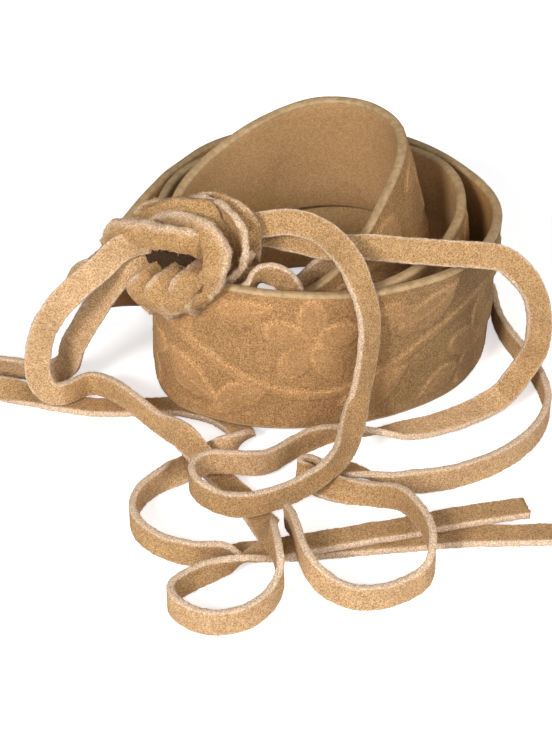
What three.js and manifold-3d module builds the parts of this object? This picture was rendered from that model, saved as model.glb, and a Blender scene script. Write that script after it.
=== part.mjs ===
// Wrap belt: one wide leather strap with tapered ends, coiled two and three quarter turns on
// its lower edge. Its flat suede laces are knotted over the top edge of the outer turn and lie
// in loops on the surface in front of it.
// Millimetres, +Z up. The tables are written about the coil's centre; the group then moves the
// origin to the middle of the belt's footprint.

import * as THREE from 'three';
import * as BufferGeometryUtils from 'three/addons/utils/BufferGeometryUtils.js';
import Module from 'manifold-3d';

const wasm = await Module();
wasm.setup();

// Driving dimensions
const strapWidth = 45;
const strapThickness = 3;
const strapChamfer = 0.7;
const strapStep = 7.5;          // degrees of turn between sections
const taperLength = 50;         // from full width down to the lace tab at each end
const tabWidth = 17;
const tabRound = 7;             // length over which the tab's tip is rounded
const tabSteps = 12;            // sections in each tapered end
const tipCrowding = 1.6;        // how much closer those sections lie towards the tip
const taperFullness = 1.5;      // how late the taper leaves the tab's width
const turnMark = 0.25;          // degrees, the step in which the strap's length is measured
const laceHole = 5;
const laceHoleInset = 13;       // from the tip to the middle of the hole
const laceHoleSides = 16;
const laceWidth = 7.5;
const laceThickness = 2;
const laceChamfer = 0.5;
const laceStep = 6.5;           // along a lace between sections
const knotStep = 4;
const seatGap = 0.35;           // between the knot and the strap that it sits on
const knotCore = { x: -36.5, y: -38.2, z: 51.1, rx: 14, ry: 8, rz: 8, across: 20, round: 14 };
const coilCentre = { x: 5.1, y: -0.7 };

// The strap's spiral, inner end first: turn in degrees about the coil's centre, radius to the
// middle of the leather at half width, height of the lower edge, and lean from upright (a
// positive lean brings the top edge towards the centre).
const strapColumns = ['turn', 'radius', 'height', 'lean'];
const strapRows = [
  [-118, 38.6, 2.5, -10], [-104, 37.2, 2.5, -10], [-90, 35.4, 2.7, -8], [-75, 33.4, 4.8, -3],
  [-60, 32.4, 8.4, 4], [-30, 31.1, 16.2, 12], [0, 32.0, 20.5, 14], [30, 34.9, 22.7, 15],
  [60, 36.5, 23.6, 15.5], [90, 35.1, 22.8, 15.5], [120, 33.3, 18.9, 14], [150, 36.2, 11.7, 9],
  [180, 40.8, 4.5, 2], [210, 43.6, 0.9, -3.5], [228, 46.2, 0.3, -8], [245, 46.6, 0.3, -12],
  [262, 45.2, 0.3, -16], [280, 44.2, 0.3, -16], [300, 44.0, 0.3, -11], [318, 44.0, 0.4, -5],
  [336, 44.8, 0.8, 1], [360, 47.4, 2.0, 5], [390, 49.0, 2.7, 2], [420, 46.6, 1.4, -6],
  [450, 44.8, 0.3, -11], [480, 43.8, 0.3, -9], [510, 44.8, 0.3, -4], [540, 45.8, 0.3, 0],
  [555, 47.6, 1.0, 0.5], [565, 50.2, 1.7, 1], [575, 54.2, 2.4, 1], [582, 57.0, 2.7, 1],
  [590, 58.6, 2.8, 1.5], [600, 58.1, 2.8, 2], [615, 57.2, 2.8, 2], [630, 54.7, 1.8, 0],
  [640, 53.4, 0.9, -0.5], [650, 52.7, 0.4, -2], [660, 52.6, 0.1, -2.5], [670, 53.3, 0, -3],
  [680, 54.0, 0, -3], [690, 54.3, 0, -3], [705, 54.7, 0, -3], [720, 55.2, 0, -3],
  [750, 54.6, 0, -1], [780, 57.1, 0, 0], [810, 57.6, 0.02, 0], [840, 54.2, 0.06, 0],
  [870, 49.7, 0.2, 0], [885, 50.5, 1.0, 0], [900, 55.5, 3.2, 0], [910, 62.0, 4.4, 0],
  [917, 69.5, 4.8, 0],
];

// A lace or a band of the knot: points on its middle line, and the direction its width runs in.
const ribbonColumns = ['x', 'y', 'z', 'wideX', 'wideY', 'wideZ'];

// From the knot over the front wall, round a small loop on the surface, up the right side and
// back over the coil to the knot.
const frontLace = [
  [-16.5, -34.9, 57.1, 0, 0.5, 0.8], [-10.5, -34.8, 57.9, 0, 0.5, 0.8],
  [-5.6, -34.7, 58.1, 0, 0.5, 0.8], [-0.6, -36.7, 57.7, 0.2, 0.5, 0.8],
  [3.9, -40.6, 56.9, 0.4, 0.5, 0.7], [7.5, -45.5, 55.5, 0.7, 0.4, 0.5],
  [10.5, -51, 53.2, 0.9, 0.2, 0.3], [13, -54.5, 48.3, 1, 0, 0.2], [15, -56.5, 41.8, 1, 0, 0.1],
  [15.5, -57.5, 34.9, 1, 0, 0], [15, -58, 27.6, 1, 0, 0], [14, -58.5, 19.8, 1, 0, -0.1],
  [12.5, -61, 14, 1, 0.1, -0.2], [10.5, -70, 12, 0.8, 0.2, -0.5], [8, -79, 10.5, 0.6, 0.4, -0.7],
  [3.5, -86, 9.4, 0.3, 0.3, -0.9], [-2, -91, 8.4, 0, 0, -1], [-8.5, -96, 8.4, 0, 0, -1],
  [-15.5, -99.5, 8.4, 0, 0, -1], [-22, -100.5, 8.6, 0, 0, -1], [-28, -98.5, 9.4, 0, 0, -1],
  [-32.5, -93.5, 9.8, 0, 0, -1], [-33, -87, 9.8, 0, 0, -1], [-29.5, -83, 9.8, 0, 0, -1],
  [-24, -82, 9.2, 0, 0, -1], [-18.5, -81, 8, 0, 0, -1], [-13.5, -78.5, 6.5, 0, 0, -1],
  [-9.5, -73.5, 5, 0, 0, -1], [-5.5, -68, 4, 0, 0, -1], [-0.5, -64, 4, 0, 0, -1],
  [7, -61, 4.2, 0, 0.4, -0.9], [18, -59.5, 3.4, 0, 0.8, -0.6], [27.5, -58, 2.9, 0, 0.9, -0.4],
  [37.5, -54.5, 2.9, 0, 0.9, -0.3], [47.5, -49, 3.4, -0.1, 0.9, -0.3],
  [55.5, -44, 5.2, -0.4, 0.8, -0.3], [60.5, -39.5, 9, -0.6, 0.7, -0.3], [64, -38, 14, -0.8, 0.5, -0.2],
  [65.5, -39.5, 20, -0.9, 0.4, 0], [65.5, -40.5, 27, -0.8, 0.6, 0.1],
  [64.5, -41.5, 34, -0.6, 0.8, 0.1], [62, -42.5, 41, -0.3, 0.9, 0.3],
  [58.5, -42.5, 46, -0.1, 0.8, 0.6], [54, -41, 49.5, 0, 0.6, 0.8], [49, -40.5, 50.5, 0, 0.5, 0.9],
  [42, -39.5, 50.5, 0, 0.5, 0.8], [33, -38.5, 50.5, 0, 0.5, 0.8], [24, -37, 50.5, 0, 0.5, 0.8],
  [15.5, -35.5, 50.5, 0, 0.5, 0.8], [7.9, -36.6, 50.9, 0, 0.5, 0.8], [1.9, -36.1, 51.3, 0, 0.5, 0.8],
  [-4.1, -33.7, 51.6, 0, 0.5, 0.8], [-10, -31.8, 52.1, 0, 0.5, 0.8], [-15.4, -31.3, 52.8, 0, 0.5, 0.8],
];

// The left strand: down from the knot, under the small loop, round the lowest loop, and out to
// the ragged end on the right.
const leftLace = [
  [-55.1, -45.3, 54.3, -0.4, 0.5, 0.7], [-58, -47.4, 51.9, -0.5, 0.4, 0.7],
  [-62.7, -48.8, 48.2, -0.6, 0.4, 0.7], [-67.7, -49.6, 43.8, -0.8, 0.3, 0.5],
  [-72.3, -49.2, 38.4, -0.9, 0.2, 0.3], [-75.9, -47.8, 31.9, -1, 0, 0.1],
  [-78.6, -45.7, 23.7, -1, 0, 0], [-79.7, -45.2, 16.1, -1, 0, -0.1],
  [-78.8, -45.5, 10.4, -0.8, -0.1, -0.6], [-75.5, -46.5, 7.6, -0.2, 0, -1], [-71, -44, 6.9, 0, 0, -1],
  [-65, -38.5, 6.2, 0, 0, -1], [-57.5, -44, 7.1, 0, 0, -1], [-50.5, -52, 7.1, 0, 0, -1],
  [-43.5, -59, 5.6, 0, 0, -1], [-37, -67.5, 7.9, -0.4, -0.4, -0.8],
  [-32.5, -73.5, 6.2, -0.7, -0.6, -0.2], [-27.5, -80, 4.3, -0.8, -0.6, 0],
  [-22.5, -85.5, 2, -0.8, -0.6, 0], [-17.5, -91.5, 1.25, -0.9, -0.5, 0],
  [-15, -97.5, 1.6, -0.9, -0.4, -0.1], [-13, -105, 4.4, -0.7, -0.2, -0.6],
  [-12, -112.5, 8.6, -0.3, -0.1, -1], [-10, -122.5, 9.6, 0, 0, -1], [-9.5, -128.5, 7, 0, 0, -1],
  [-12, -134, 4.7, 0, 0, -1], [-17.5, -139.5, 4, 0, 0, -1], [-25, -142, 4, 0, 0, -1],
  [-32, -140, 4, 0, 0, -1], [-36.5, -135, 4, 0, 0, -1], [-37, -130.5, 4, 0, 0, -1],
  [-33.5, -126.5, 4, 0, 0, -1], [-28.5, -123, 4.2, 0, 0, -1], [-22.5, -121.2, 5.3, 0, 0.4, -0.9],
  [-15.5, -117.3, 5.5, 0, 0.9, -0.2], [-8.5, -112.5, 3.6, 0.2, 1, 0], [1, -110, 3.6, 0.2, 1, 0],
  [12, -107, 3.6, 0.1, 1, 0], [22.5, -104.5, 3.6, 0.1, 1, 0], [33.5, -101, 3.6, 0.1, 1, 0],
  [45, -98, 3.6, 0.1, 1, 0], [57, -95, 3.4, 0.1, 1, 0],
];

// The second strand on the left: down behind the first, out to the left, back under the strap's
// edge, round the left loop, and out to the right under the ragged end.
const tailLace = [
  [-55.6, -44, 45, -0.7, 0.3, 0.6], [-57.5, -41.6, 38.9, -0.8, 0.3, 0.5],
  [-60.5, -40.6, 33.5, -0.9, 0.2, 0.3], [-64.6, -39, 25.9, -0.9, 0.2, 0.3],
  [-68.7, -35.9, 17.2, -0.9, 0.2, 0.3], [-72.4, -33.4, 9.6, -0.5, 0.3, 0.8],
  [-78.5, -31.3, 5.2, -0.1, 0, 1], [-86, -28, 4.1, 0, -0.2, 1], [-93.5, -26, 4, 0, -0.2, 1],
  [-100, -26, 4, 0, 0, 1], [-104, -28.5, 4, 0, 0, 1], [-103, -33, 4, 0, 0, 1],
  [-99, -35.5, 4, 0, 0, 1], [-92.5, -37.5, 3.7, 0, 0.4, 0.9], [-86, -38.5, 2.4, 0.1, 0.9, 0.3],
  [-79, -40, 1.2, 0.1, 1, 0], [-71, -42.5, 1.1, 0.1, 1, 0], [-62.5, -44, 1.1, 0, 1, 0],
  [-54, -44, 1.1, 0, 1, 0], [-47, -43.5, 1.1, -0.1, 1, 0], [-40, -43.5, 1.1, -0.1, 1, 0],
  [-33, -45.5, 1.1, 0.1, 1, 0], [-26.5, -49.2, 1.1, 0.4, 0.9, 0], [-21.8, -54.5, 1.13, 0.8, 0.5, 0],
  [-20, -59.5, 1.5, 0.9, 0.2, 0.1], [-20.6, -63.5, 3.4, 0.5, 0, 0.8], [-23, -67, 3.9, 0.1, 0, 1],
  [-27, -69, 3.2, -0.4, 0.6, 0.6],
  [-32, -70.5, 1.4, -0.4, 0.9, 0], [-36.5, -76.8, 2.7, -0.5, 0.8, 0.3], [-42, -83, 4, 0, 0, 1],
  [-47, -89.5, 4, 0, 0, 1], [-49, -97.5, 4, 0, 0, 1], [-47, -105, 4, 0, 0, 1],
  [-41, -111.5, 4, 0, 0, 1], [-33, -115, 4, 0, 0, 1], [-25.5, -113.5, 3.6, 0, -0.3, 0.9],
  [-19, -111.5, 1.5, 0, -1, 0.1], [-11.5, -110.5, 1.1, 0, -1, 0], [-3, -110, 1.1, 0, -1, 0],
  [12, -108, 1.1, -0.1, -1, 0], [25, -106.5, 1.1, -0.1, -1, 0], [38.5, -104.5, 1.1, -0.1, -1, 0],
  [53, -104, 1.1, 0, -1, 0], [69, -103.5, 1.1, 0, -1, 0],
];

// The lace of the outer end: down from its hole, round the back of the coil, along the front
// with a hairpin under the small loop, round the right loop, and in to a plain end.
const backLace = [
  [-63.3, -7.5, 26.9, 0, 0, 1], [-67.5, -5, 25.5, 0, 0.1, 1], [-72.5, 0, 19.5, 0, 0.4, 0.9],
  [-76, 7, 11, 0, 0.4, 0.9], [-77, 16, 5.8, 0, 0.2, 1], [-74, 28, 4.1, 0, 0, 1],
  [-67, 42, 4, 0, 0, 1], [-52, 57, 4, 0, 0, 1],
  [-33, 67, 4, 0, 0, 1], [-10, 72, 4, 0, 0, 1], [12, 70, 4, 0, 0, 1], [32, 60, 4, 0, 0, 1],
  [46, 46, 4, 0, 0, 1], [55, 31, 4, 0, 0, 1], [59, 17, 4, 0, 0, 1], [59.5, 2, 4, 0, 0, 1],
  [61.5, -9, 4, 0, 0, 1], [64.5, -18.5, 4, 0, 0, 1], [67.5, -28.5, 4, 0, 0, 1], [69, -38, 4, 0, 0, 1],
  [69, -46.5, 4, 0, 0, 1], [66.5, -55.5, 4, 0, 0, 1], [61.5, -64.5, 4, 0, 0, 1],
  [54, -72.5, 4, 0, 0, 1], [45.5, -78.5, 4, 0, 0, 1], [36.5, -82.5, 4, 0, 0, 1],
  [28, -84, 4, 0, 0, 1], [20.5, -84, 3.7, 0, -0.3, 0.9], [14, -79.5, 2.9, -0.2, -0.8, 0.5],
  [8, -75, 1.3, -0.3, -0.9, 0], [2.5, -72.5, 2.5, -0.2, -0.9, 0.3], [-2, -73.5, 3.4, -0.1, -0.3, 0.9],
  [-5, -76.5, 4, 0, 0, 1], [-6, -80, 3.8, 0, 0, 1], [-4, -81.5, 3.2, 0.2, 0.7, 0.6],
  [0, -82.5, 1.3, 0.3, 0.9, 0], [4.5, -85, 2.6, 0.2, 0.9, 0.3], [10, -89, 4.3, 0, 0.2, 1],
  [16.5, -91.5, 5.2, 0, 0, 1], [23, -97.5, 8.6, 0, 0, 1], [27.5, -106.5, 9.5, 0, 0, 1],
  [29.5, -113.5, 9.5, 0, 0, 1], [29.5, -120, 8.6, 0, 0, 1], [28, -125, 5.4, 0, 0, 1],
  [23.5, -128.5, 4, 0, 0, 1], [16.5, -132, 4, 0, 0, 1], [9.5, -132.5, 4, 0, 0, 1],
  [3.5, -130, 4.8, 0, 0, 1], [-1, -127.5, 8, 0, 0, 1], [-3.5, -122.5, 9.8, 0, 0, 1],
  [-5, -115, 9.8, 0, 0, 1], [-6, -109.5, 9.4, 0, 0, 1], [-7.5, -104, 7.6, 0, 0, 1],
];

// A short lace from the knot, over the middle turn behind the front wall, and down to the hole of
// the inner end.
const innerLace = [
  [-18.4, -45, 49.2, 0, 0.7, 0.7], [-15, -44.7, 49.2, 0, 0.7, 0.7], [-11.6, -44, 48.6, 0.1, 0.7, 0.7],
  [-8.8, -42.8, 46.6, 0.5, 0.5, 0.6], [-6.8, -42, 42.8, 0.9, 0.1, 0.3], [-6, -41.8, 38, 1, 0, 0.1],
  [-5.8, -41.6, 33, 1, 0, 0], [-5.8, -41.1, 28, 1, 0, 0],
];

// The bands that are wound into the knot.
const knotBands = {
  frontWrap: [
    [-55.7, -38.6, 51.3, -0.39, 0.3, 0.87], [-53.7, -42, 57.1, -0.15, 0.31, 0.94],
    [-48.9, -45.9, 60.2, 0.05, 0.27, 0.96], [-42.3, -48.9, 60.2, 0.1, 0.27, 0.96],
    [-35.8, -49.5, 59.3, 0.1, 0.31, 0.94], [-31, -47.5, 56.9, 0.16, 0.45, 0.88],
    [-28.4, -43.6, 52.8, 0.21, 0.7, 0.68],
  ],
  turnedDown: [
    [-42.9, -39.6, 58.9, 0.1, -0.44, 0.89], [-37.6, -42.9, 62.9, 0.1, -0.54, 0.84],
    [-32.7, -47.1, 64.9, 0.25, -0.56, 0.79], [-28.8, -50.6, 63.1, 0.69, -0.44, 0.58],
    [-27.7, -53.7, 59.2, 0.96, -0.21, 0.2], [-28.3, -55, 53.6, 1, -0.05, -0.08],
    [-31.5, -53.4, 47, 0.83, -0.11, -0.55], [-36.3, -49.3, 41.3, 0.53, -0.17, -0.83],
  ],
  lowerFront: [
    [-48.8, -47.8, 39.1, 0.59, 0.44, 0.67], [-45.6, -50.8, 44.5, 0.61, 0.25, 0.75],
    [-40.9, -51.8, 50.2, 0.62, 0.2, 0.76], [-35.9, -50.3, 54.4, 0.61, 0.25, 0.75],
    [-32.1, -46, 55.5, 0.62, 0.43, 0.65],
  ],
  lowerBack: [
    [-43, -50.1, 39.2, 0.79, 0.54, 0.29], [-39.9, -53.4, 45.1, 0.78, 0.49, 0.38],
    [-35.5, -54.3, 51, 0.75, 0.44, 0.49], [-31.4, -51.8, 54.9, 0.71, 0.39, 0.59],
    [-29.4, -46.5, 55.7, 0.7, 0.3, 0.64],
  ],
  middleFold: [
    [-51.1, -42.6, 45.2, 0.1, 0.25, 0.96], [-47.7, -45.6, 49.8, 0.15, 0.2, 0.97],
    [-42.7, -47.4, 52.5, 0.2, 0.2, 0.96], [-37.1, -47.5, 54.1, 0.21, 0.25, 0.95],
    [-32.8, -45.2, 54.1, 0.21, 0.34, 0.91],
  ],
  topWrap: [
    [-46.8, -33.7, 55.1, -0.53, 0.37, 0.76], [-43, -36, 60.8, -0.35, 0.28, 0.89],
    [-37.2, -38.5, 64.3, 0, 0.28, 0.96], [-31.1, -40, 63.8, 0.41, 0.22, 0.89],
    [-26.9, -41.1, 60.3, 0.76, 0.16, 0.62], [-24.8, -41.2, 54.7, 0.98, 0.11, 0.17],
    [-25.8, -39.6, 48, 0.96, 0.06, -0.28],
  ],
  thirdWrap: [
    [-30.2, -35.2, 61.9, 0.21, -0.27, 0.94], [-25, -38, 63.1, 0.3, -0.56, 0.78],
    [-21.1, -41.9, 61.7, 0.34, -0.7, 0.63], [-19.4, -44.9, 58.1, 0.2, -0.82, 0.54],
    [-20.3, -46.4, 53.1, 0.1, -0.88, 0.46], [-23.1, -44.7, 47.4, 0, -0.96, 0.27],
  ],
  rightWrap: [
    [-32.7, -29.5, 57.9, -0.31, 0.43, 0.85], [-28, -31.8, 61.7, 0, 0.37, 0.93],
    [-22.6, -35.1, 62.2, 0.5, 0.3, 0.82], [-18.9, -38.1, 59.4, 0.85, 0.15, 0.5],
    [-17.8, -39.6, 54.4, 1, 0.03, 0.04], [-19.3, -37.5, 47.5, 0.93, 0, -0.37],
  ],
  backCorner: [
    [-49.6, -34.1, 54.6, -0.53, 0.46, 0.71], [-46.1, -33.5, 59.1, -0.47, 0.39, 0.79],
    [-42.5, -30.8, 59.6, 0, 0.45, 0.89], [-38.5, -28.6, 57.4, 0.32, 0.52, 0.79],
  ],
};

const named = (columns, rows) =>
  rows.map((row) => Object.fromEntries(columns.map((name, i) => [name, row[i]])));

// The slope of each column at each row, weighted by the spacing on both sides of it.
function slopes(keys, values) {
  const rise = (i) => (values[i + 1] - values[i]) / (keys[i + 1] - keys[i]);
  return values.map((_, i) => {
    if (i === 0) return rise(0);
    if (i === values.length - 1) return rise(i - 1);
    const before = keys[i] - keys[i - 1];
    const after = keys[i + 1] - keys[i];
    return (before * rise(i) + after * rise(i - 1)) / (before + after);
  });
}

// A smooth curve through a table column: a cubic piece between each two rows.
function smoothColumn(keys, values) {
  const slope = slopes(keys, values);
  return (key) => {
    let i = 0;
    while (i < keys.length - 2 && key > keys[i + 1]) i += 1;
    const span = keys[i + 1] - keys[i];
    const t = THREE.MathUtils.clamp((key - keys[i]) / span, 0, 1);
    const s = t * t * (3 - 2 * t);
    const start = t * (1 - t) * (1 - t) * span * slope[i];
    const end = t * t * (t - 1) * span * slope[i + 1];
    return values[i] * (1 - s) + values[i + 1] * s + start + end;
  };
}

// The middle line and the two directions of the strap at one angle of turn.
function strapFrames() {
  const rows = named(strapColumns, strapRows);
  const turns = rows.map((row) => row.turn);
  const column = (name) => smoothColumn(turns, rows.map((row) => row[name]));
  const [radius, height, lean] = [column('radius'), column('height'), column('lean')];
  const plan = (turn) => {
    const angle = THREE.MathUtils.degToRad(turn);
    return new THREE.Vector3(radius(turn) * Math.cos(angle), radius(turn) * Math.sin(angle), 0);
  };
  return (turn) => {
    const along = plan(turn + turnMark).sub(plan(turn - turnMark)).normalize();
    const outward = new THREE.Vector3(along.y, -along.x, 0);
    const tilt = THREE.MathUtils.degToRad(lean(turn));
    const up = outward.clone().multiplyScalar(-Math.sin(tilt)).setZ(Math.cos(tilt));
    const out = outward.clone().multiplyScalar(Math.cos(tilt)).setZ(Math.sin(tilt));
    const lift = Math.abs(Math.sin(tilt)) * strapThickness / 2 + Math.cos(tilt) * strapWidth / 2;
    return { centre: plan(turn).setZ(height(turn) + lift), up, out };
  };
}

// Angles of the strap's sections: even steps, and finer ones in the two tapered ends.
function strapTurns(frame) {
  const first = strapRows[0][0];
  const last = strapRows[strapRows.length - 1][0];
  const endTurn = (start, direction) => {
    const marks = [{ turn: start, length: 0 }];
    while (marks[marks.length - 1].length < taperLength) {
      const { turn, length } = marks[marks.length - 1];
      const next = turn + direction * turnMark;
      marks.push({ turn: next, length: length + frame(turn).centre.distanceTo(frame(next).centre) });
    }
    return (length) => marks.find((mark) => mark.length >= length) ?? marks[marks.length - 1];
  };
  const inner = endTurn(first, 1);
  const outer = endTurn(last, -1);
  const sections = [];
  const tip = (step) => taperLength * (step / tabSteps) ** tipCrowding;
  for (let step = 0; step <= tabSteps; step += 1) {
    sections.push({ turn: inner(tip(step)).turn, fromEnd: tip(step) });
    sections.push({ turn: outer(tip(step)).turn, fromEnd: tip(step) });
  }
  const [from, to] = [inner(taperLength).turn, outer(taperLength).turn];
  const count = Math.round((to - from) / strapStep);
  for (let i = 1; i < count; i += 1) {
    sections.push({ turn: from + (to - from) * i / count, fromEnd: taperLength });
  }
  return { sections: sections.sort((a, b) => a.turn - b.turn), inner, outer };
}

// Half the strap's width at a distance from its end: an ogive taper with a rounded tip.
function halfWidth(fromEnd) {
  const along = THREE.MathUtils.clamp(fromEnd / taperLength, 0, 1);
  const taper = tabWidth / 2 + (strapWidth - tabWidth) / 2 * Math.sin(along * Math.PI / 2) ** taperFullness;
  const past = THREE.MathUtils.clamp(1 - fromEnd / tabRound, 0, 0.97);
  return taper * Math.sqrt(1 - past * past);
}

// The eight corners of a strip's section, with its long edges broken.
function stripCorners(thick, wide, chamfer) {
  const c = Math.min(chamfer, wide / 2);
  return [
    [thick, wide - c], [thick - c, wide], [c - thick, wide], [-thick, wide - c],
    [-thick, c - wide], [c - thick, -wide], [thick - c, -wide], [thick, c - wide],
  ];
}

// A closed body through rings of corners, each ring { centre, out, up, corners }.
function sweep(rings) {
  const sides = rings[0].corners.length;
  const positions = [];
  for (const { centre, out, up, corners } of rings) {
    for (const [across, along] of corners) {
      const point = centre.clone().addScaledVector(out, across).addScaledVector(up, along);
      positions.push(point.x, point.y, point.z);
    }
  }
  const indices = [];
  for (let ring = 0; ring < rings.length - 1; ring += 1) {
    for (let side = 0; side < sides; side += 1) {
      const a = ring * sides + side;
      const b = ring * sides + (side + 1) % sides;
      indices.push(a, b, b + sides, a, b + sides, a + sides);
    }
  }
  const lastRing = (rings.length - 1) * sides;
  for (let side = 1; side < sides - 1; side += 1) {
    indices.push(0, side + 1, side, lastRing, lastRing + side, lastRing + side + 1);
  }
  const geometry = new THREE.BufferGeometry();
  geometry.setAttribute('position', new THREE.Float32BufferAttribute(positions, 3));
  geometry.setIndex(signedVolume(positions, indices) < 0 ? indices.reverse() : indices);
  return geometry;
}

function signedVolume(positions, indices) {
  const corner = (i) => new THREE.Vector3().fromArray(positions, indices[i] * 3);
  let volume = 0;
  for (let i = 0; i < indices.length; i += 3) {
    volume += corner(i).dot(corner(i + 1).cross(corner(i + 2))) / 6;
  }
  return volume;
}

// The strap's own body, grown by a margin on every side when it is a cutter.
function strapGeometry(margin = 0) {
  const frame = strapFrames();
  const rings = strapTurns(frame).sections.map(({ turn, fromEnd }) => ({
    ...frame(turn),
    corners: stripCorners(strapThickness / 2 + margin, halfWidth(fromEnd) + margin, strapChamfer),
  }));
  return sweep(rings);
}

// A flat ribbon through a table of points, with sections at even steps along it.
function ribbonGeometry(table, step) {
  const rows = named(ribbonColumns, table);
  const curve = new THREE.CatmullRomCurve3(
    rows.map((row) => new THREE.Vector3(row.x, row.y, row.z)), false, 'catmullrom', 0.5,
  );
  const wides = rows.map((row) => new THREE.Vector3(row.wideX, row.wideY, row.wideZ).normalize());
  const count = Math.max(4, Math.round(curve.getLength() / step));
  const corners = stripCorners(laceThickness / 2, laceWidth / 2, laceChamfer);
  const rings = [];
  for (let i = 0; i <= count; i += 1) {
    const t = curve.getUtoTmapping(i / count);
    const place = t * (wides.length - 1);
    const row = Math.min(Math.floor(place), wides.length - 2);
    const along = curve.getTangent(t);
    const up = wides[row].clone().lerp(wides[row + 1], place - row);
    up.addScaledVector(along, -up.dot(along)).normalize();
    rings.push({ centre: curve.getPoint(t), out: along.clone().cross(up), up, corners });
  }
  return sweep(rings);
}

function toSolid(geometry) {
  const bare = geometry.clone();
  bare.deleteAttribute('normal');
  bare.deleteAttribute('uv');
  const merged = BufferGeometryUtils.mergeVertices(bare, 1e-5);
  return new wasm.Manifold(new wasm.Mesh({
    numProp: 3,
    vertProperties: new Float32Array(merged.attributes.position.array),
    triVerts: new Uint32Array(merged.index.array),
  }));
}

function toGeometry(solid) {
  const mesh = solid.getMesh();
  const geometry = new THREE.BufferGeometry();
  geometry.setAttribute('position', new THREE.Float32BufferAttribute(mesh.vertProperties, 3));
  geometry.setIndex(Array.from(mesh.triVerts));
  return geometry;
}

// A round cutter across the leather for the lace hole of one end.
function laceHoleCutter(frame, mark) {
  const { centre, out } = frame(mark(laceHoleInset).turn);
  const cutter = new THREE.CylinderGeometry(
    laceHole / 2, laceHole / 2, strapThickness * 3, laceHoleSides,
  );
  const turn = new THREE.Quaternion().setFromUnitVectors(new THREE.Vector3(0, 1, 0), out);
  return cutter.applyQuaternion(turn).translate(centre.x, centre.y, centre.z);
}

function makeStrap() {
  const frame = strapFrames();
  const { inner, outer } = strapTurns(frame);
  const holes = [inner, outer].map((mark) => toSolid(laceHoleCutter(frame, mark)));
  return toGeometry(holes.reduce((body, hole) => body.subtract(hole), toSolid(strapGeometry())));
}

// The wound bands and the packed middle of the knot, seated over the strap's top edge.
function makeKnot() {
  const { x, y, z, rx, ry, rz, across, round } = knotCore;
  const core = new THREE.SphereGeometry(1, across, round).scale(rx, ry, rz).translate(x, y, z);
  const bands = Object.values(knotBands).map((table) => toSolid(ribbonGeometry(table, knotStep)));
  const wound = bands.reduce((body, band) => body.add(band), toSolid(core));
  const seated = wound.subtract(toSolid(strapGeometry(seatGap)));
  const pieces = seated.decompose().sort((a, b) => b.volume() - a.volume());
  return toGeometry(pieces[0]);
}

const leather = (color, roughness) => new THREE.MeshStandardMaterial({ color, roughness, metalness: 0 });

const part = new THREE.Group();
part.position.set(coilCentre.x, coilCentre.y, 0);

function addPiece(name, geometry, material) {
  const mesh = new THREE.Mesh(geometry, material);
  mesh.name = name;
  part.add(mesh);
}

addPiece('belt_strap', makeStrap(), leather(0xa57e4f, 0.92));
addPiece('knot', makeKnot(), leather(0xb48c5c, 0.95));

const laces = {
  lace_front: frontLace,
  lace_left: leftLace,
  lace_tail: tailLace,
  lace_back: backLace,
  lace_inner: innerLace,
};
for (const [name, table] of Object.entries(laces)) {
  addPiece(name, ribbonGeometry(table, laceStep), leather(0xb9925f, 0.95));
}

export default part;
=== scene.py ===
# Wrap belt in tan suede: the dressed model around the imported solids. Metres, +Z up.
import math

import bpy
import numpy as np
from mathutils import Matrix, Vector, noise


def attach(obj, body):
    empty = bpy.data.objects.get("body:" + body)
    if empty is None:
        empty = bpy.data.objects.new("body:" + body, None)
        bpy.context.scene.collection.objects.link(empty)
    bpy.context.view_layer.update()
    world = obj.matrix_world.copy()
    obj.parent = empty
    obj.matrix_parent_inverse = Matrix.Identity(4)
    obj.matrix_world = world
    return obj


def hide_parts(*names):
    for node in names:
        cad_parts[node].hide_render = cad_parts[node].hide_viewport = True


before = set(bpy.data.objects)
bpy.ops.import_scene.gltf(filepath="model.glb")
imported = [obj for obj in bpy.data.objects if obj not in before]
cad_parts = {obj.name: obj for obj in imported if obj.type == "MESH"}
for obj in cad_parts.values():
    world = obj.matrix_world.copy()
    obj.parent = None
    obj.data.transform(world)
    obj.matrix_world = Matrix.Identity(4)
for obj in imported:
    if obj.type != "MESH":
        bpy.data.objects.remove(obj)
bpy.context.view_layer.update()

scene = bpy.context.scene
mm = 0.001
# Vector noise starts from the clock unless it is given a seed.
noise.seed_set(5)

# The photograph's viewpoint.
camera = {
    "location": (-0.00543, -0.46814, 0.29267),
    "pitch": 56.8,       # degrees up from straight down
    "lens": 85.5,
}
cameraData = bpy.data.cameras.new("camera")
cameraData.lens = camera["lens"]
cameraObject = bpy.data.objects.new("camera", cameraData)
cameraObject.location = camera["location"]
cameraObject.rotation_euler = (math.radians(camera["pitch"]), 0, 0)
scene.collection.objects.link(cameraObject)
scene.camera = cameraObject
print("camera placed")


# An sRGB colour in bytes as the linear colour that a shader takes.
def tone(red, green, blue):
    return tuple(((c / 255 + 0.055) / 1.055) ** 2.4 for c in (red, green, blue)) + (1,)


# Adds a node; inputs that are sockets get linked, the others set.
def addNode(tree, kind, inputs=None, **settings):
    node = tree.nodes.new(kind)
    for key, value in settings.items():
        setattr(node, key, value)
    for key, value in (inputs or {}).items():
        if isinstance(value, bpy.types.NodeSocket):
            tree.links.new(value, node.inputs[key])
        else:
            node.inputs[key].default_value = value
    return node


def noiseValue(tree, coords, scale, detail=3, roughness=0.6):
    inputs = {"Vector": coords, "Scale": scale, "Detail": detail, "Roughness": roughness}
    return addNode(tree, "ShaderNodeTexNoise", inputs).outputs["Fac"]


def ramp(tree, value, low, high, bottom=0.0, top=1.0):
    inputs = {"Value": value, "From Min": low, "From Max": high, "To Min": bottom, "To Max": top}
    return addNode(tree, "ShaderNodeMapRange", inputs).outputs["Result"]


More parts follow.
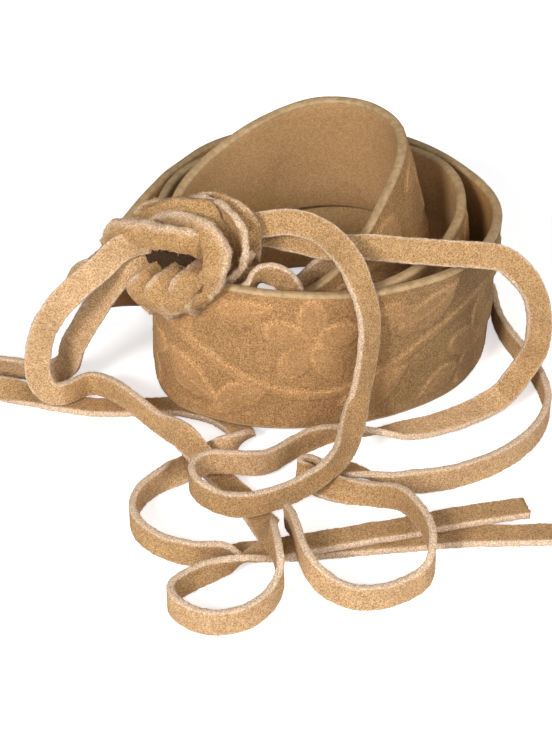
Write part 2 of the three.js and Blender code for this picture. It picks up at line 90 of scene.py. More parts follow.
def combine(tree, operation, first, second):
    node = addNode(tree, "ShaderNodeMath", {0: first, 1: second}, operation=operation)
    return node.outputs["Value"]


def mixTone(tree, factor, first, second):
    node = addNode(tree, "ShaderNodeMix", {0: factor, 6: first, 7: second}, data_type="RGBA")
    return node.outputs[2]


def scaleTone(tree, colour, factor):
    node = addNode(tree, "ShaderNodeVectorMath", {0: colour, "Scale": factor}, operation="SCALE")
    return node.outputs["Vector"]


def tintTone(tree, colour, tint):
    node = addNode(tree, "ShaderNodeVectorMath", {0: colour, 1: tint}, operation="MULTIPLY")
    return node.outputs["Vector"]


# An empty node group with the named inputs and outputs; hands back the tree and its two ends.
def startGroup(name, inputs, outputs):
    kinds = {"colour": "NodeSocketColor", "value": "NodeSocketFloat"}
    tree = bpy.data.node_groups.new(name, "ShaderNodeTree")
    for label, kind in inputs:
        tree.interface.new_socket(name=label, in_out="INPUT", socket_type=kinds[kind])
    for label, kind in outputs:
        tree.interface.new_socket(name=label, in_out="OUTPUT", socket_type=kinds[kind])
    start = tree.nodes.new("NodeGroupInput")
    end = tree.nodes.new("NodeGroupOutput")
    return tree, start.outputs, end.inputs


# Brushed nap: fine flecks, and soft patches where a hand has turned it.
def buildSuedeNap():
    tree, given, result = startGroup(
        "suedeNap",
        [("Ground", "colour"), ("Light", "colour"), ("Dark", "colour"), ("Grain Scale", "value"),
         ("Grain", "value"), ("Patch Scale", "value"), ("Patch", "value")],
        [("Color", "colour"), ("Height", "value"), ("Roughness", "value")],
    )
    place = addNode(tree, "ShaderNodeTexCoord").outputs["Object"]
    grain = noiseValue(tree, place, given["Grain Scale"], 2, 0.6)
    coarse = noiseValue(tree, place, combine(tree, "MULTIPLY", given["Grain Scale"], 0.3), 2, 0.5)
    tufts = addNode(tree, "ShaderNodeTexVoronoi", {
        "Vector": place, "Scale": combine(tree, "MULTIPLY", given["Grain Scale"], 1.6),
    }).outputs["Color"]
    tuft = addNode(tree, "ShaderNodeSeparateColor", {"Color": tufts}).outputs["Red"]
    soft = combine(tree, "ADD", combine(tree, "MULTIPLY", grain, 0.7),
                   combine(tree, "MULTIPLY", coarse, 0.12))
    flecks = combine(tree, "ADD", soft, combine(tree, "MULTIPLY", tuft, 0.18))
    fleckTone = mixTone(tree, ramp(tree, flecks, 0.38, 0.62), given["Dark"], given["Light"])
    napTone = mixTone(tree, given["Grain"], given["Ground"], fleckTone)
    patch = ramp(tree, noiseValue(tree, place, given["Patch Scale"], 4, 0.55), 0.3, 0.7, -1.0, 1.0)
    shade = combine(tree, "ADD", combine(tree, "MULTIPLY", patch, given["Patch"]), 1.0)
    tree.links.new(scaleTone(tree, napTone, shade), result["Color"])
    tree.links.new(flecks, result["Height"])
    tree.links.new(ramp(tree, flecks, 0.3, 0.7, 0.98, 0.84), result["Roughness"])
    return tree


# Pale, fibrous skin where the leather was cut: a mask from the mesh, broken up by noise.
def buildCutEdge():
    tree, given, result = startGroup(
        "cutEdge",
        [("Color", "colour"), ("Cut", "colour"), ("Edge", "value"), ("Ragged", "value")],
        [("Color", "colour")],
    )
    place = addNode(tree, "ShaderNodeTexCoord").outputs["Object"]
    fibres = combine(tree, "SUBTRACT", noiseValue(tree, place, 1500.0, 3, 0.7), 0.5)
    spread = combine(tree, "MULTIPLY", fibres, given["Ragged"])
    mask = ramp(tree, combine(tree, "ADD", given["Edge"], spread), 0.35, 1.0, 0.0, 0.9)
    specks = ramp(tree, noiseValue(tree, place, 2600.0, 2, 0.6), 0.4, 0.6, 0.0, 1.0)
    skin = mixTone(tree, specks, scaleTone(tree, given["Cut"], 0.5), given["Cut"])
    tree.links.new(mixTone(tree, mask, given["Color"], skin), result["Color"])
    return tree


groups = {"suedeNap": buildSuedeNap(), "cutEdge": buildCutEdge()}


def placeGroup(tree, name, inputs):
    return addNode(tree, "ShaderNodeGroup", inputs, node_tree=groups[name]).outputs


def meshMask(tree, name):
    return addNode(tree, "ShaderNodeAttribute", attribute_name=name).outputs["Fac"]


# A Principled material; constants such as sheen are set on the shader's own sockets.
def startMaterial(name, constants):
    material = bpy.data.materials.new(name)
    material.use_nodes = True
    tree = material.node_tree
    shader = tree.nodes["Principled BSDF"]
    for label, value in constants.items():
        shader.inputs[label].default_value = value
    return material, tree, shader


def bumpUp(tree, shader, height, strength, distance):
    inputs = {"Height": height, "Strength": strength, "Distance": distance}
    bump = addNode(tree, "ShaderNodeBump", inputs)
    tree.links.new(bump.outputs["Normal"], shader.inputs["Normal"])


suedeSheen = {
    "Specular IOR Level": 0.18,
    "Sheen Weight": 0.05,
    "Sheen Roughness": 0.5,
    "Sheen Tint": tone(250, 226, 196),
}


def makeStrapFace():
    material, tree, shader = startMaterial("embossedSuede", suedeSheen)
    nap = placeGroup(tree, "suedeNap", {
        "Ground": tone(156, 115, 73), "Light": tone(194, 153, 105), "Dark": tone(111, 75, 40),
        "Grain Scale": 2500.0, "Grain": 0.7, "Patch Scale": 110.0, "Patch": 0.09,
    })
    line = meshMask(tree, "scrollLine")
    field = meshMask(tree, "scrollField")
    place = addNode(tree, "ShaderNodeTexCoord").outputs["Object"]
    # The pale outlines are partly the pressing's worn rims and partly painted highlight where the
    # raised rims catch the light; noise fades them in and out.
    wearAndHighlight = ramp(tree, noiseValue(tree, place, 130.0, 3, 0.6), 0.36, 0.62, 0.6, 1.0)
    fieldTone = mixTone(tree, combine(tree, "MULTIPLY", field, 0.22), nap["Color"],
                        tone(196, 148, 98))
    lineTone = mixTone(tree, combine(tree, "MULTIPLY", line, wearAndHighlight), fieldTone,
                       scaleTone(tree, nap["Color"], 1.5))
    # Fine crease lines painted darker: painted shade in creases that the mesh does not have.
    crackle = addNode(tree, "ShaderNodeTexNoise", {
        "Vector": place, "Scale": 150.0, "Detail": 4, "Roughness": 0.62, "Distortion": 0.6,
    }).outputs["Fac"]
    creaseShade = ramp(tree, combine(tree, "ABSOLUTE", combine(tree, "SUBTRACT", crackle, 0.5), 0.0),
                  0.0, 0.02, 0.28, 0.0)
    lineTone = mixTone(tree, creaseShade, lineTone, tone(120, 82, 46))
    # On that stretch the face is painted duller and darker: partly its own olive tone, partly painted
    # shade.
    oliveShade = tintTone(tree, lineTone, (0.74, 0.80, 0.86))
    lineTone = mixTone(tree, meshMask(tree, "oliveShadeStretch"), lineTone, oliveShade)
    tree.links.new(lineTone, shader.inputs["Base Color"])
    tree.links.new(nap["Roughness"], shader.inputs["Roughness"])
    bumpUp(tree, shader, nap["Height"], 0.55, 0.0005)
    return material


def makeStrapBack():
    material, tree, shader = startMaterial("smoothBack", {"Specular IOR Level": 0.3})
    nap = placeGroup(tree, "suedeNap", {
        "Ground": tone(184, 145, 99), "Light": tone(202, 164, 117), "Dark": tone(160, 121, 76),
        "Grain Scale": 1500.0, "Grain": 0.6, "Patch Scale": 45.0, "Patch": 0.06,
    })
    # On the same stretch the back is painted darker and browner: painted shade on the inside of the
    # outer turn.
    paintedShadeBack = tintTone(tree, nap["Color"], (0.72, 0.66, 0.52))
    backTone = mixTone(tree, meshMask(tree, "oliveShadeStretch"), nap["Color"], paintedShadeBack)
    tree.links.new(backTone, shader.inputs["Base Color"])
    tree.links.new(ramp(tree, nap["Height"], 0.3, 0.7, 0.62, 0.8), shader.inputs["Roughness"])
    bumpUp(tree, shader, nap["Height"], 0.2, 0.0004)
    return material


def makeStrapEdge():
    material, tree, shader = startMaterial("burnishedEdge", {"Specular IOR Level": 0.45})
    nap = placeGroup(tree, "suedeNap", {
        "Ground": tone(168, 138, 98), "Light": tone(190, 160, 118), "Dark": tone(140, 112, 76),
        "Grain Scale": 500.0, "Grain": 0.45, "Patch Scale": 120.0, "Patch": 0.08,
    })
    tree.links.new(nap["Color"], shader.inputs["Base Color"])
    tree.links.new(ramp(tree, nap["Height"], 0.3, 0.7, 0.42, 0.62), shader.inputs["Roughness"])
    bumpUp(tree, shader, nap["Height"], 0.15, 0.0003)
    return material


def makeLaceSuede(name, ground, light, dark, cut):
    material, tree, shader = startMaterial(name, suedeSheen)
    nap = placeGroup(tree, "suedeNap", {
        "Ground": ground, "Light": light, "Dark": dark,
        "Grain Scale": 2500.0, "Grain": 0.7, "Patch Scale": 200.0, "Patch": 0.1,
    })
    flesh = tintTone(tree, nap["Color"], (1.16, 1.22, 1.38))
    sideTone = mixTone(tree, meshMask(tree, "fleshSide"), nap["Color"], flesh)
    cutSkin = placeGroup(tree, "cutEdge", {
        "Color": sideTone, "Cut": cut, "Edge": meshMask(tree, "cutEdge"), "Ragged": 1.6,
    })
    tree.links.new(cutSkin["Color"], shader.inputs["Base Color"])
    tree.links.new(nap["Roughness"], shader.inputs["Roughness"])
    bumpUp(tree, shader, nap["Height"], 0.75, 0.0006)
    return material


suede = {
    "face": makeStrapFace(),
    "back": makeStrapBack(),
    "edge": makeStrapEdge(),
    "lace": makeLaceSuede("laceSuede", tone(175, 135, 89), tone(214, 176, 128),
                          tone(130, 90, 49), tone(246, 216, 186)),
    "knot": makeLaceSuede("knotSuede", tone(170, 129, 81), tone(209, 170, 120),
                          tone(125, 86, 46), tone(246, 214, 182)),
    # A near-black suede that is painted shade, for the knot's gaps.
    "shade": makeLaceSuede("paintedShadeSuede", tone(58, 40, 24), tone(76, 54, 34),
                           tone(42, 28, 16), tone(76, 54, 34)),
}
print("leathers mixed")


# A mesh object from rings of points, closed across the section and capped at both ends. Spikes are
# loose triangles: two root points and a tip.
def ringMesh(name, rings, slots, masks, slotOf, spikes=None):
    count, sides = rings.shape[:2]
    faces = []
    faceSlots = []
    for ring in range(count - 1):
        for side in range(sides):
            after = (side + 1) % sides
            low = ring * sides
            faces.append((low + side, low + after, low + sides + after, low + sides + side))
            faceSlots.append(slotOf[side])
    faces.append(tuple(reversed(range(sides))))
    faces.append(tuple((count - 1) * sides + side for side in range(sides)))
    faceSlots += [slotOf[-1], slotOf[-1]]
    points = rings.reshape(-1, 3)
    if spikes is not None:
        first = len(points)
        faces += [(first + 3 * k, first + 3 * k + 1, first + 3 * k + 2) for k in range(len(spikes))]
        faceSlots += [0] * len(spikes)
        points = np.vstack([points, spikes.reshape(-1, 3)])
        spikeMask = np.tile((0.6, 0.6, 1.0), len(spikes))
        masks = {label: np.append(values.ravel(), spikeMask) for label, values in masks.items()}
    mesh = bpy.data.meshes.new(name)
    mesh.from_pydata(points.tolist(), [], faces)
    mesh.update()
    for slot in slots:
        mesh.materials.append(suede[slot])
    mesh.polygons.foreach_set("material_index", faceSlots)
    mesh.polygons.foreach_set("use_smooth", [True] * len(faces))
    for label, values in masks.items():
        layer = mesh.attributes.new(label, "FLOAT", "POINT")
        layer.data.foreach_set("value", np.asarray(values, dtype=np.float32).ravel())
    piece = bpy.data.objects.new(name, mesh)
    scene.collection.objects.link(piece)
    return piece


# Turns a closed mesh right side out; its loose triangles have no say in it.
def faceOutward(piece):
    mesh = piece.data
    points = np.array([v.co for v in mesh.vertices])
    volume = 0.0
    for face in mesh.polygons:
        if len(face.vertices) == 3:
            continue
        a, b, c = (points[i] for i in face.vertices[:3])
        volume += float(np.dot(a, np.cross(b, c)))
        if len(face.vertices) == 4:
            d = points[face.vertices[3]]
            volume += float(np.dot(a, np.cross(c, d)))
    if volume < 0:
        mesh.flip_normals()


def softNoise(points, size, seed):
    return np.array([noise.noise(Vector(p) / size + Vector((seed, 0, 0))) for p in points])


def lineNoise(places, size, seed, shift):
    return np.array([noise.noise(Vector((place / size, seed, shift))) for place in places])


# Rows of vectors brought to length one.
def unitRows(vectors):
    return vectors / np.linalg.norm(vectors, axis=1)[:, None]


# How far along a line each of its points lies.
def reachAlong(points):
    steps = np.linalg.norm(np.diff(points, axis=0), axis=1)
    return np.concatenate([[0], np.cumsum(steps)])


beltStrap = {
    "centre": (0.0051, -0.0007),
    "width": 0.045,
    "thickness": 0.003,
    "edgeRadius": 0.0011,
    "taperLength": 0.050,
    "tabWidth": 0.017,
    "tabRound": 0.007,
    "taperPower": 1.5,
    "tipFullness": 0.998,
    "ringStep": 0.00105,
    "frontStep": 0.0005,
    "frontTurns": (535, 730),
    # turns of the stretch painted olive and in painted shade
    "oliveShadeTurns": (652, 790),
    "turnStep": 0.25,       # degrees
    "tips": (0, 0.05, 0.2, 0.45, 0.8, 1.3, 1.9, 2.6, 3.3, 4.0),     # ring places at an end, mm
    "tipLength": 0.005,
    "faceColumns": 60,
    "backColumns": 12,
    "edgeAngles": (25, 50, 75, 105, 130, 155),
    "edgeLimit": 0.9,       # largest rounding as a share of the half width
    "holeRadius": 0.0025,
    "holeInset": 0.013,
    "holeSides": 24,
    "cutterReach": 0.004,
    "reliefHeight": 0.0006,
    "lineRise": 0.0003,
    "ribRise": 0.7,         # share of an outline's
    "border": 0.0025,
    "unevenness": ((0.011, 0.00016, 3.1), (0.0022, 0.00005, 7.7)),      # size, height, seed
    "oliveShadeBlend": 0.006,
    # turn in degrees, radius and height of the lower edge in millimetres, lean in degrees
    "rows": [
        (-118, 38.6, 2.5, -10), (-104, 37.2, 2.5, -10), (-90, 35.4, 2.7, -8), (-75, 33.4, 4.8, -3),
        (-60, 32.4, 8.4, 4), (-30, 31.1, 16.2, 12), (0, 32, 20.5, 14), (30, 34.9, 22.7, 15),
        (60, 36.5, 23.6, 15.5), (90, 35.1, 22.8, 15.5), (120, 33.3, 18.9, 14), (150, 36.2, 11.7, 9),
        (180, 40.8, 4.5, 2), (210, 43.6, 0.9, -3.5), (228, 46.2, 0.3, -8), (245, 46.6, 0.3, -12),
        (262, 45.2, 0.3, -16), (280, 44.2, 0.3, -16), (300, 44, 0.3, -11), (318, 44, 0.4, -5),
        (336, 44.8, 0.8, 1), (360, 47.4, 2, 5), (390, 49, 2.7, 2), (420, 46.6, 1.4, -6),
        (450, 44.8, 0.3, -11), (480, 43.8, 0.3, -9), (510, 44.8, 0.3, -4), (540, 45.8, 0.3, 0),
        (555, 47.6, 1, 0.5), (565, 50.2, 1.7, 1), (575, 54.2, 2.4, 1), (582, 57, 2.7, 1),
        (590, 58.6, 2.8, 1.5), (600, 58.1, 2.8, 2), (615, 57.2, 2.8, 2), (630, 54.7, 1.8, 0),
        (640, 53.4, 0.9, -0.5), (650, 52.7, 0.4, -2), (660, 52.6, 0.1, -2.5), (670, 53.3, 0, -3),
        (680, 54, 0, -3), (690, 54.3, 0, -3), (705, 54.7, 0, -3), (720, 55.2, 0, -3),
        (750, 54.6, 0, -1), (780, 57.1, 0, 0), (810, 57.6, 0.02, 0), (840, 54.2, 0.06, 0),
        (870, 49.7, 0.2, 0), (885, 50.5, 1, 0), (900, 55.5, 3.2, 0), (910, 62, 4.4, 0),
        (917, 69.5, 4.8, 0),
    ],
}

# The pressed ornament: a running vine with leaves and flowers, in millimetres on the strap.
scroll = {
    "tile": 118.0,
    "vineHeight": 22.0,
    "vineSwing": 10.0,
    "vineHalfWidth": 1.0,
    "lineWidth": 0.45,
    "fieldInset": 0.25,
    "fieldBlend": 0.3,
    "flowers": [(29.5, 15.0, 6.6), (88.5, 29.5, 6.0)],      # along, up, petal length
    "petals": 5,
    "petalTurn": 0.25,      # share of a petal's turn
    # the next three are shares of the petal length
    "petalReach": 1.25,
    "petalWidth": 0.62,
    "disc": 0.42,
    "discLine": 0.1,
    "leafBow": 0.16,
    "leafTaper": 0.3,
    "leafSlack": 0.9,
    "ribWidth": 0.4,
    "ribReach": 0.8,        # share of the half length
    # along, up, angle, half length, half width
    "leaves": [
        (7.0, 35.0, 28, 11.0, 4.6), (47.0, 34.5, 140, 9.5, 4.2), (53.0, 12.5, -38, 10.5, 4.4),
        (67.0, 9.5, 215, 9.5, 4.0), (108.0, 11.5, 24, 11.5, 4.6), (112.0, 37.0, 168, 7.5, 3.2),
        (12.5, 8.5, 196, 8.5, 3.6), (70.0, 37.5, 12, 8.5, 3.4),
    ],
}


# A smooth curve through a table column, with a cubic piece between each two rows.
def smoothColumn(keys, values):
    rise = np.diff(values) / np.diff(keys)
    gap = np.diff(keys)
    slope = np.empty(len(keys))
    slope[0], slope[-1] = rise[0], rise[-1]
    slope[1:-1] = (gap[:-1] * rise[1:] + gap[1:] * rise[:-1]) / (gap[:-1] + gap[1:])

    def curve(at):
        i = np.clip(np.searchsorted(keys, at) - 1, 0, len(keys) - 2)
        span = gap[i]
        t = np.clip((at - keys[i]) / span, 0, 1)
        s = t * t * (3 - 2 * t)
        bend = t * (1 - t) ** 2 * slope[i] + t * t * (t - 1) * slope[i + 1]
        return values[i] * (1 - s) + values[i + 1] * s + span * bend
    return curve


# Middle points and the out and up directions of the strap at an array of turns.
def strapFrames(turns):
    table = np.array(beltStrap["rows"]) * (1, mm, mm, 1)
    radius, height, lean = (smoothColumn(table[:, 0], table[:, k]) for k in (1, 2, 3))

    def plan(turn):
        angle = np.radians(turn)
        return np.stack([radius(turn) * np.cos(angle), radius(turn) * np.sin(angle)], axis=1)

    nudge = beltStrap["turnStep"]
    along = unitRows(plan(turns + nudge) - plan(turns - nudge))
    outward = np.stack([along[:, 1], -along[:, 0], np.zeros(len(turns))], axis=1)
    tilt = np.radians(lean(turns))[:, None]
    rise = np.array([[0, 0, 1.0]])
    up = -outward * np.sin(tilt) + rise * np.cos(tilt)
    out = outward * np.cos(tilt) + rise * np.sin(tilt)
    lift = np.abs(np.sin(tilt)) * beltStrap["thickness"] / 2 + np.cos(tilt) * beltStrap["width"] / 2
    centre = np.zeros((len(turns), 3))
    centre[:, :2] = plan(turns) + np.array(beltStrap["centre"])
    centre[:, 2] = height(turns) + lift[:, 0]
    return centre, out, up


# The strap's half width at a distance from its nearer end.
def halfWidth(fromEnd):
    full, tab = beltStrap["width"], beltStrap["tabWidth"]
    along = np.clip(fromEnd / beltStrap["taperLength"], 0, 1)
    taper = tab / 2 + (full - tab) / 2 * np.sin(along * math.pi / 2) ** beltStrap["taperPower"]
    past = np.clip(1 - fromEnd / beltStrap["tabRound"], 0, beltStrap["tipFullness"])
    return taper * np.sqrt(1 - past * past)


# How far each point of the strap's face lies from the ornament's outlines, in millimetres, and how
# near it is to a leaf's rib.
def scrollDistance(s, v):
    tile = scroll["tile"]
    s = np.mod(s, tile)
    nearest = np.full(s.shape, 99.0)
    rib = np.zeros(s.shape)
    for shift in (-tile, 0.0, tile):
        at = s + shift
        run = 2 * math.pi * at / tile
        swing = scroll["vineSwing"] * np.sin(run)
        slope = scroll["vineSwing"] * 2 * math.pi / tile * np.cos(run)
        vine = np.abs(v - scroll["vineHeight"] - swing) / np.sqrt(1 + slope * slope)
        nearest = np.minimum(nearest, vine - scroll["vineHalfWidth"])
        for x, y, angle, half, wide in scroll["leaves"]:
            turn = math.radians(angle)
            along = (at - x) * math.cos(turn) + (v - y) * math.sin(turn)
            across = (v - y) * math.cos(turn) - (at - x) * math.sin(turn)
            share = np.clip(along / half, -1, 1)
            bowed = across - scroll["leafBow"] * half * share ** 2
            past = np.maximum(np.abs(along) - half, 0)
            edge = wide * (1 - share ** 2) * (1 - scroll["leafTaper"] * share)
            nearest = np.minimum(nearest, (np.abs(bowed) - edge + past) * scroll["leafSlack"])
            near = np.exp(-(bowed / scroll["ribWidth"]) ** 2)
            rib = np.maximum(rib, near * (np.abs(along) < scroll["ribReach"] * half))
        for x, y, size in scroll["flowers"]:
            for petal in range(scroll["petals"]):
                turn = 2 * math.pi * (petal + scroll["petalTurn"]) / scroll["petals"]
                cx = x + scroll["petalReach"] * size * math.cos(turn)
                cy = y + scroll["petalReach"] * size * math.sin(turn)
                along = (at - cx) * math.cos(turn) + (v - cy) * math.sin(turn)
                across = (v - cy) * math.cos(turn) - (at - cx) * math.sin(turn)
                halfAcross = scroll["petalWidth"] * size
                reach = np.sqrt((along / size) ** 2 + (across / halfAcross) ** 2)
                nearest = np.minimum(nearest, (reach - 1) * halfAcross)
            disc = np.hypot(at - x, v - y) - scroll["disc"] * size
            nearest = np.minimum(nearest, np.abs(disc) - scroll["discLine"])
    return nearest, rib


# The strap's section as (across, share of the half width, beyond it, part): up the outer face, over
# the top edge, down the back and round the lower edge.
def strapSection():
    half, edgeRound = beltStrap["thickness"] / 2, beltStrap["edgeRadius"]
    faceColumns, backColumns = beltStrap["faceColumns"], beltStrap["backColumns"]
    edge = []
    for angle in beltStrap["edgeAngles"]:
        turn = math.radians(angle)
        across = (half - edgeRound) * (1 if angle < 90 else -1) + edgeRound * math.cos(turn)
        edge.append((across, edgeRound * math.sin(turn)))
    section = [(half, 2 * k / faceColumns - 1, 0.0, "face") for k in range(faceColumns + 1)]
    section += [(across, 1.0, beyond, "edge") for across, beyond in edge]
    section += [(-half, 1 - 2 * k / backColumns, 0.0, "back") for k in range(backColumns + 1)]
    section += [(across, -1.0, -beyond, "edge") for across, beyond in reversed(edge)]
    return section


# Turns along the strap's table, and how far along the leather each of them lies.
def strapReach():
    rows = beltStrap["rows"]
    turns = np.arange(rows[0][0], rows[-1][0] + 0.01, beltStrap["turnStep"])
    return turns, reachAlong(strapFrames(turns)[0])


def makeBeltStrap():
    turns, reach = strapReach()
    total = reach[-1]
    tips, tipLength = np.array(beltStrap["tips"]) * mm, beltStrap["tipLength"]
    first, last = np.interp(beltStrap["frontTurns"], turns, reach)
    middle = [np.arange(tipLength, first, beltStrap["ringStep"]),
              np.arange(first, last, beltStrap["frontStep"]),
              np.arange(last, total - tipLength, beltStrap["ringStep"])]
    stations = np.concatenate([tips, *middle, total - tips[::-1]])
    centre, out, up = strapFrames(np.interp(stations, reach, turns))
    wide = halfWidth(np.minimum(stations, total - stations))
    section = strapSection()
    across, share, proud = (np.array([row[k] for row in section]) for k in range(3))
    isFace = np.array([row[3] == "face" for row in section])
    radius = np.minimum(beltStrap["edgeRadius"], wide * beltStrap["edgeLimit"])
    lift = share[None, :] * (wide - radius)[:, None]
    lift = lift + proud[None, :] * (radius / beltStrap["edgeRadius"])[:, None]
    s = np.repeat(stations[:, None], len(section), axis=1) / mm
    v = (lift + beltStrap["width"] / 2) / mm
    distance, rib = scrollDistance(s, v)
    field = 1 / (1 + np.exp((distance + scroll["fieldInset"]) / scroll["fieldBlend"]))
    line = np.exp(-(distance / scroll["lineWidth"]) ** 2)
    border = np.clip((wide[:, None] - np.abs(lift)) / beltStrap["border"], 0, 1) * isFace[None, :]
    line = np.maximum(line, beltStrap["ribRise"] * rib * field) * border
    field = field * border
    rise = beltStrap["reliefHeight"] * field + beltStrap["lineRise"] * line
    flat = centre[:, None, :] + out[:, None, :] * across[None, :, None]
    flat = flat + up[:, None, :] * lift[:, :, None]
    for size, height, seed in beltStrap["unevenness"]:
        rise = rise + height * softNoise(flat.reshape(-1, 3), size, seed).reshape(distance.shape)
    rings = flat + out[:, None, :] * rise[:, :, None]
    # A stretch of the outer turn is painted duller and darker: partly an olive tone of its own, partly
    # painted shade on the coil's right-hand side, which is turned from the light.
    start, stop = np.interp(beltStrap["oliveShadeTurns"], turns, reach)
    blend = beltStrap["oliveShadeBlend"]
    oliveShade = 1 / (1 + np.exp((start - stations) / blend)) / (1 + np.exp((stations - stop) / blend))
    oliveShade = np.repeat(oliveShade[:, None], len(section), axis=1)
    slotOf = [{"face": 0, "back": 1, "edge": 2}[row[3]] for row in section]
    # The last strip of the face and of the back already belongs to the rounding.
    slotOf[beltStrap["faceColumns"]] = 2
    slotOf[len(section) - len(beltStrap["edgeAngles"]) - 1] = 2
    piece = ringMesh("beltStrap", rings, ["face", "back", "edge"],
                     {"scrollLine": line, "scrollField": field, "oliveShadeStretch": oliveShade}, slotOf)
    faceOutward(piece)
    return piece


# Punches the lace holes of the two ends through the leather.
def punchHoles(piece):
    turns, reach = strapReach()
    centre, out, up = strapFrames(turns)
    inset, sides = beltStrap["holeInset"], beltStrap["holeSides"]
    for station in (inset, reach[-1] - inset):
        i = int(np.searchsorted(reach, station))
        along = np.cross(up[i], out[i])
        rim = [along * math.cos(2 * math.pi * k / sides) + up[i] * math.sin(2 * math.pi * k / sides)
               for k in range(sides)]
        rings = [[centre[i] + beltStrap["holeRadius"] * r + out[i] * end * beltStrap["cutterReach"]
                  for r in rim] for end in (-1, 1)]
        cutter = ringMesh("holeCutter", np.array(rings), ["face", "back", "edge"], {}, [2] * sides)
        cutter.data.polygons.foreach_set("use_smooth", [False] * len(cutter.data.polygons))
        faceOutward(cutter)
        cut = piece.modifiers.new("hole", "BOOLEAN")
        cut.operation = "DIFFERENCE"
        cut.solver = "MANIFOLD"
        cut.object = cutter
        evaluated = piece.evaluated_get(bpy.context.evaluated_depsgraph_get())
        cutMesh = bpy.data.meshes.new_from_object(evaluated)
        piece.modifiers.clear()
        piece.data = cutMesh
        bpy.data.objects.remove(cutter)


strapPiece = makeBeltStrap()
punchHoles(strapPiece)
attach(strapPiece, "root")
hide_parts("belt_strap")
print("strap pressed and coiled")


# How a lace is cut, in metres where nothing else is said.
laceCut = {
    "width": 0.0075,
    "thickness": 0.002,
    "round": 0.0005,
    "roundAngles": (35, 70),
    "faceColumns": 9,
    "step": 0.0008,
    "edgeReach": 0.0018,
    "edgeTone": 0.7,        # share of the mask
    "roundTone": 0.95,
    "edgeWander": 0.05,     # share of the half width
    "wanderSize": 0.007,
    "flutterSize": 0.0016,
    "flutter": 0.35,        # share of the wander
    "cupping": 0.00025,
    "cupSize": 0.02,
    "cupRest": 0.4,
    "pinchReach": 0.005,
    "pinchDepth": 0.48,     # share of the width
    "pinchSwell": 0.7,      # share of that depth
    "bow": 0.0,
    "bowRest": 0.5,
    "bowBlend": 0.002,
    "crumple": 0.0,
    "creases": ((0.008, 1.0), (0.003, 0.45)),       # size, share
    "fuzz": 0.00014,
    "napSize": 0.0009,
    "napOnFace": 0.4,
    "lumpSize": 0.0032,
    "lumpShare": 0.7,
    "fibreHeart": 0.8,      # share of the half width that the fibres point away from
    "floorGap": 0.0001,
    "patchy": False,
    "patchSize": 0.006,
    "patchTone": (0.75, 1.1),       # middle, swing
    "farEdge": 0.5,
    "tornEnd": 0.0018,
    "tornSize": 0.0011,
    "fibres": 36000,        # per metre of lace
    "faceFibres": 0.06,     # share of a cut edge's
    "fibreLength": 0.0005,
    "shortest": 0.35,       # share of the length
    "fibreWidth": 0.00006,
    "fibreRoot": 0.00005,
    "fibreSpread": 0.9,
}


# Even samples of the ribbon's middle line and of its width direction. A row holds a point in
# millimetres and the width direction there; a row of three numbers keeps the direction before it.
def ribbonPath(rows, step, soften=0.0015):
    points = np.array([row[:3] for row in rows]) * mm
    wides = []
    for row in rows:
        wides.append(row[3:] or wides[-1])
    wides = unitRows(np.array(wides))
    ends = np.vstack([2 * points[0] - points[1], points, 2 * points[-1] - points[-2]])
    dense, wideDense = [], []
    for i in range(len(points) - 1):
        p0, p1, p2, p3 = ends[i], ends[i + 1], ends[i + 2], ends[i + 3]
        for t in np.arange(0, 1, 0.02):
            dense.append(0.5 * (2 * p1 + (p2 - p0) * t + (2 * p0 - 5 * p1 + 4 * p2 - p3) * t * t
                                + (3 * p1 - p0 - 3 * p2 + p3) * t ** 3))
            wideDense.append(wides[i] * (1 - t) + wides[i + 1] * t)
    dense.append(points[-1])
    wideDense.append(wides[-1])
    dense, wideDense = np.array(dense), np.array(wideDense)
    reach = reachAlong(dense)
    count = max(8, int(round(reach[-1] / step)))
    at = np.linspace(0, reach[-1], count + 1)
    path, wide = (soften3(np.stack([np.interp(at, reach, table[:, k]) for k in range(3)], axis=1),
                          soften / step) for table in (dense, wideDense))
    along = unitRows(np.gradient(path, axis=0))
    up = unitRows(wide - along * np.sum(wide * along, axis=1)[:, None])
    return path, np.cross(along, up), up, at


# A running average with a bell weight; the ends are kept where they are.
def soften3(values, spread):
    reach = int(3 * spread) + 1
    weight = np.exp(-0.5 * (np.arange(-reach, reach + 1) / max(spread, 0.01)) ** 2)
    weight /= weight.sum()
    head = 2 * values[0] - values[1:reach + 1][::-1]
    tail = 2 * values[-1] - values[-reach - 1:-1][::-1]
    padded = np.vstack([head, values, tail])
    return np.stack([np.convolve(padded[:, k], weight, "valid") for k in range(3)], axis=1)


# The lace's section as (across, up, edge mask): one face, one edge, then the other two.
def laceSection(cut):
    half, wide, edgeRound = cut["thickness"] / 2, cut["width"] / 2, cut["round"]
    flat = np.linspace(-1, 1, cut["faceColumns"]) * (wide - edgeRound)
    corner = []
    for angle in cut["roundAngles"]:
        turn = math.radians(angle)
        corner.append((half - edgeRound + edgeRound * math.cos(turn),
                       wide - edgeRound + edgeRound * math.sin(turn)))
    section = []
    for side in (1, -1):
        for b in flat * side:
            nearEdge = max(0.0, 1 - (wide - abs(b)) / cut["edgeReach"])
            section.append((side * half, b, cut["edgeTone"] * nearEdge))
        section += [(side * a, side * b, cut["roundTone"]) for a, b in corner]
        section.append((0.0, side * wide, 1.0))
        section += [(-side * a, side * b, cut["roundTone"]) for a, b in reversed(corner)]
    return section


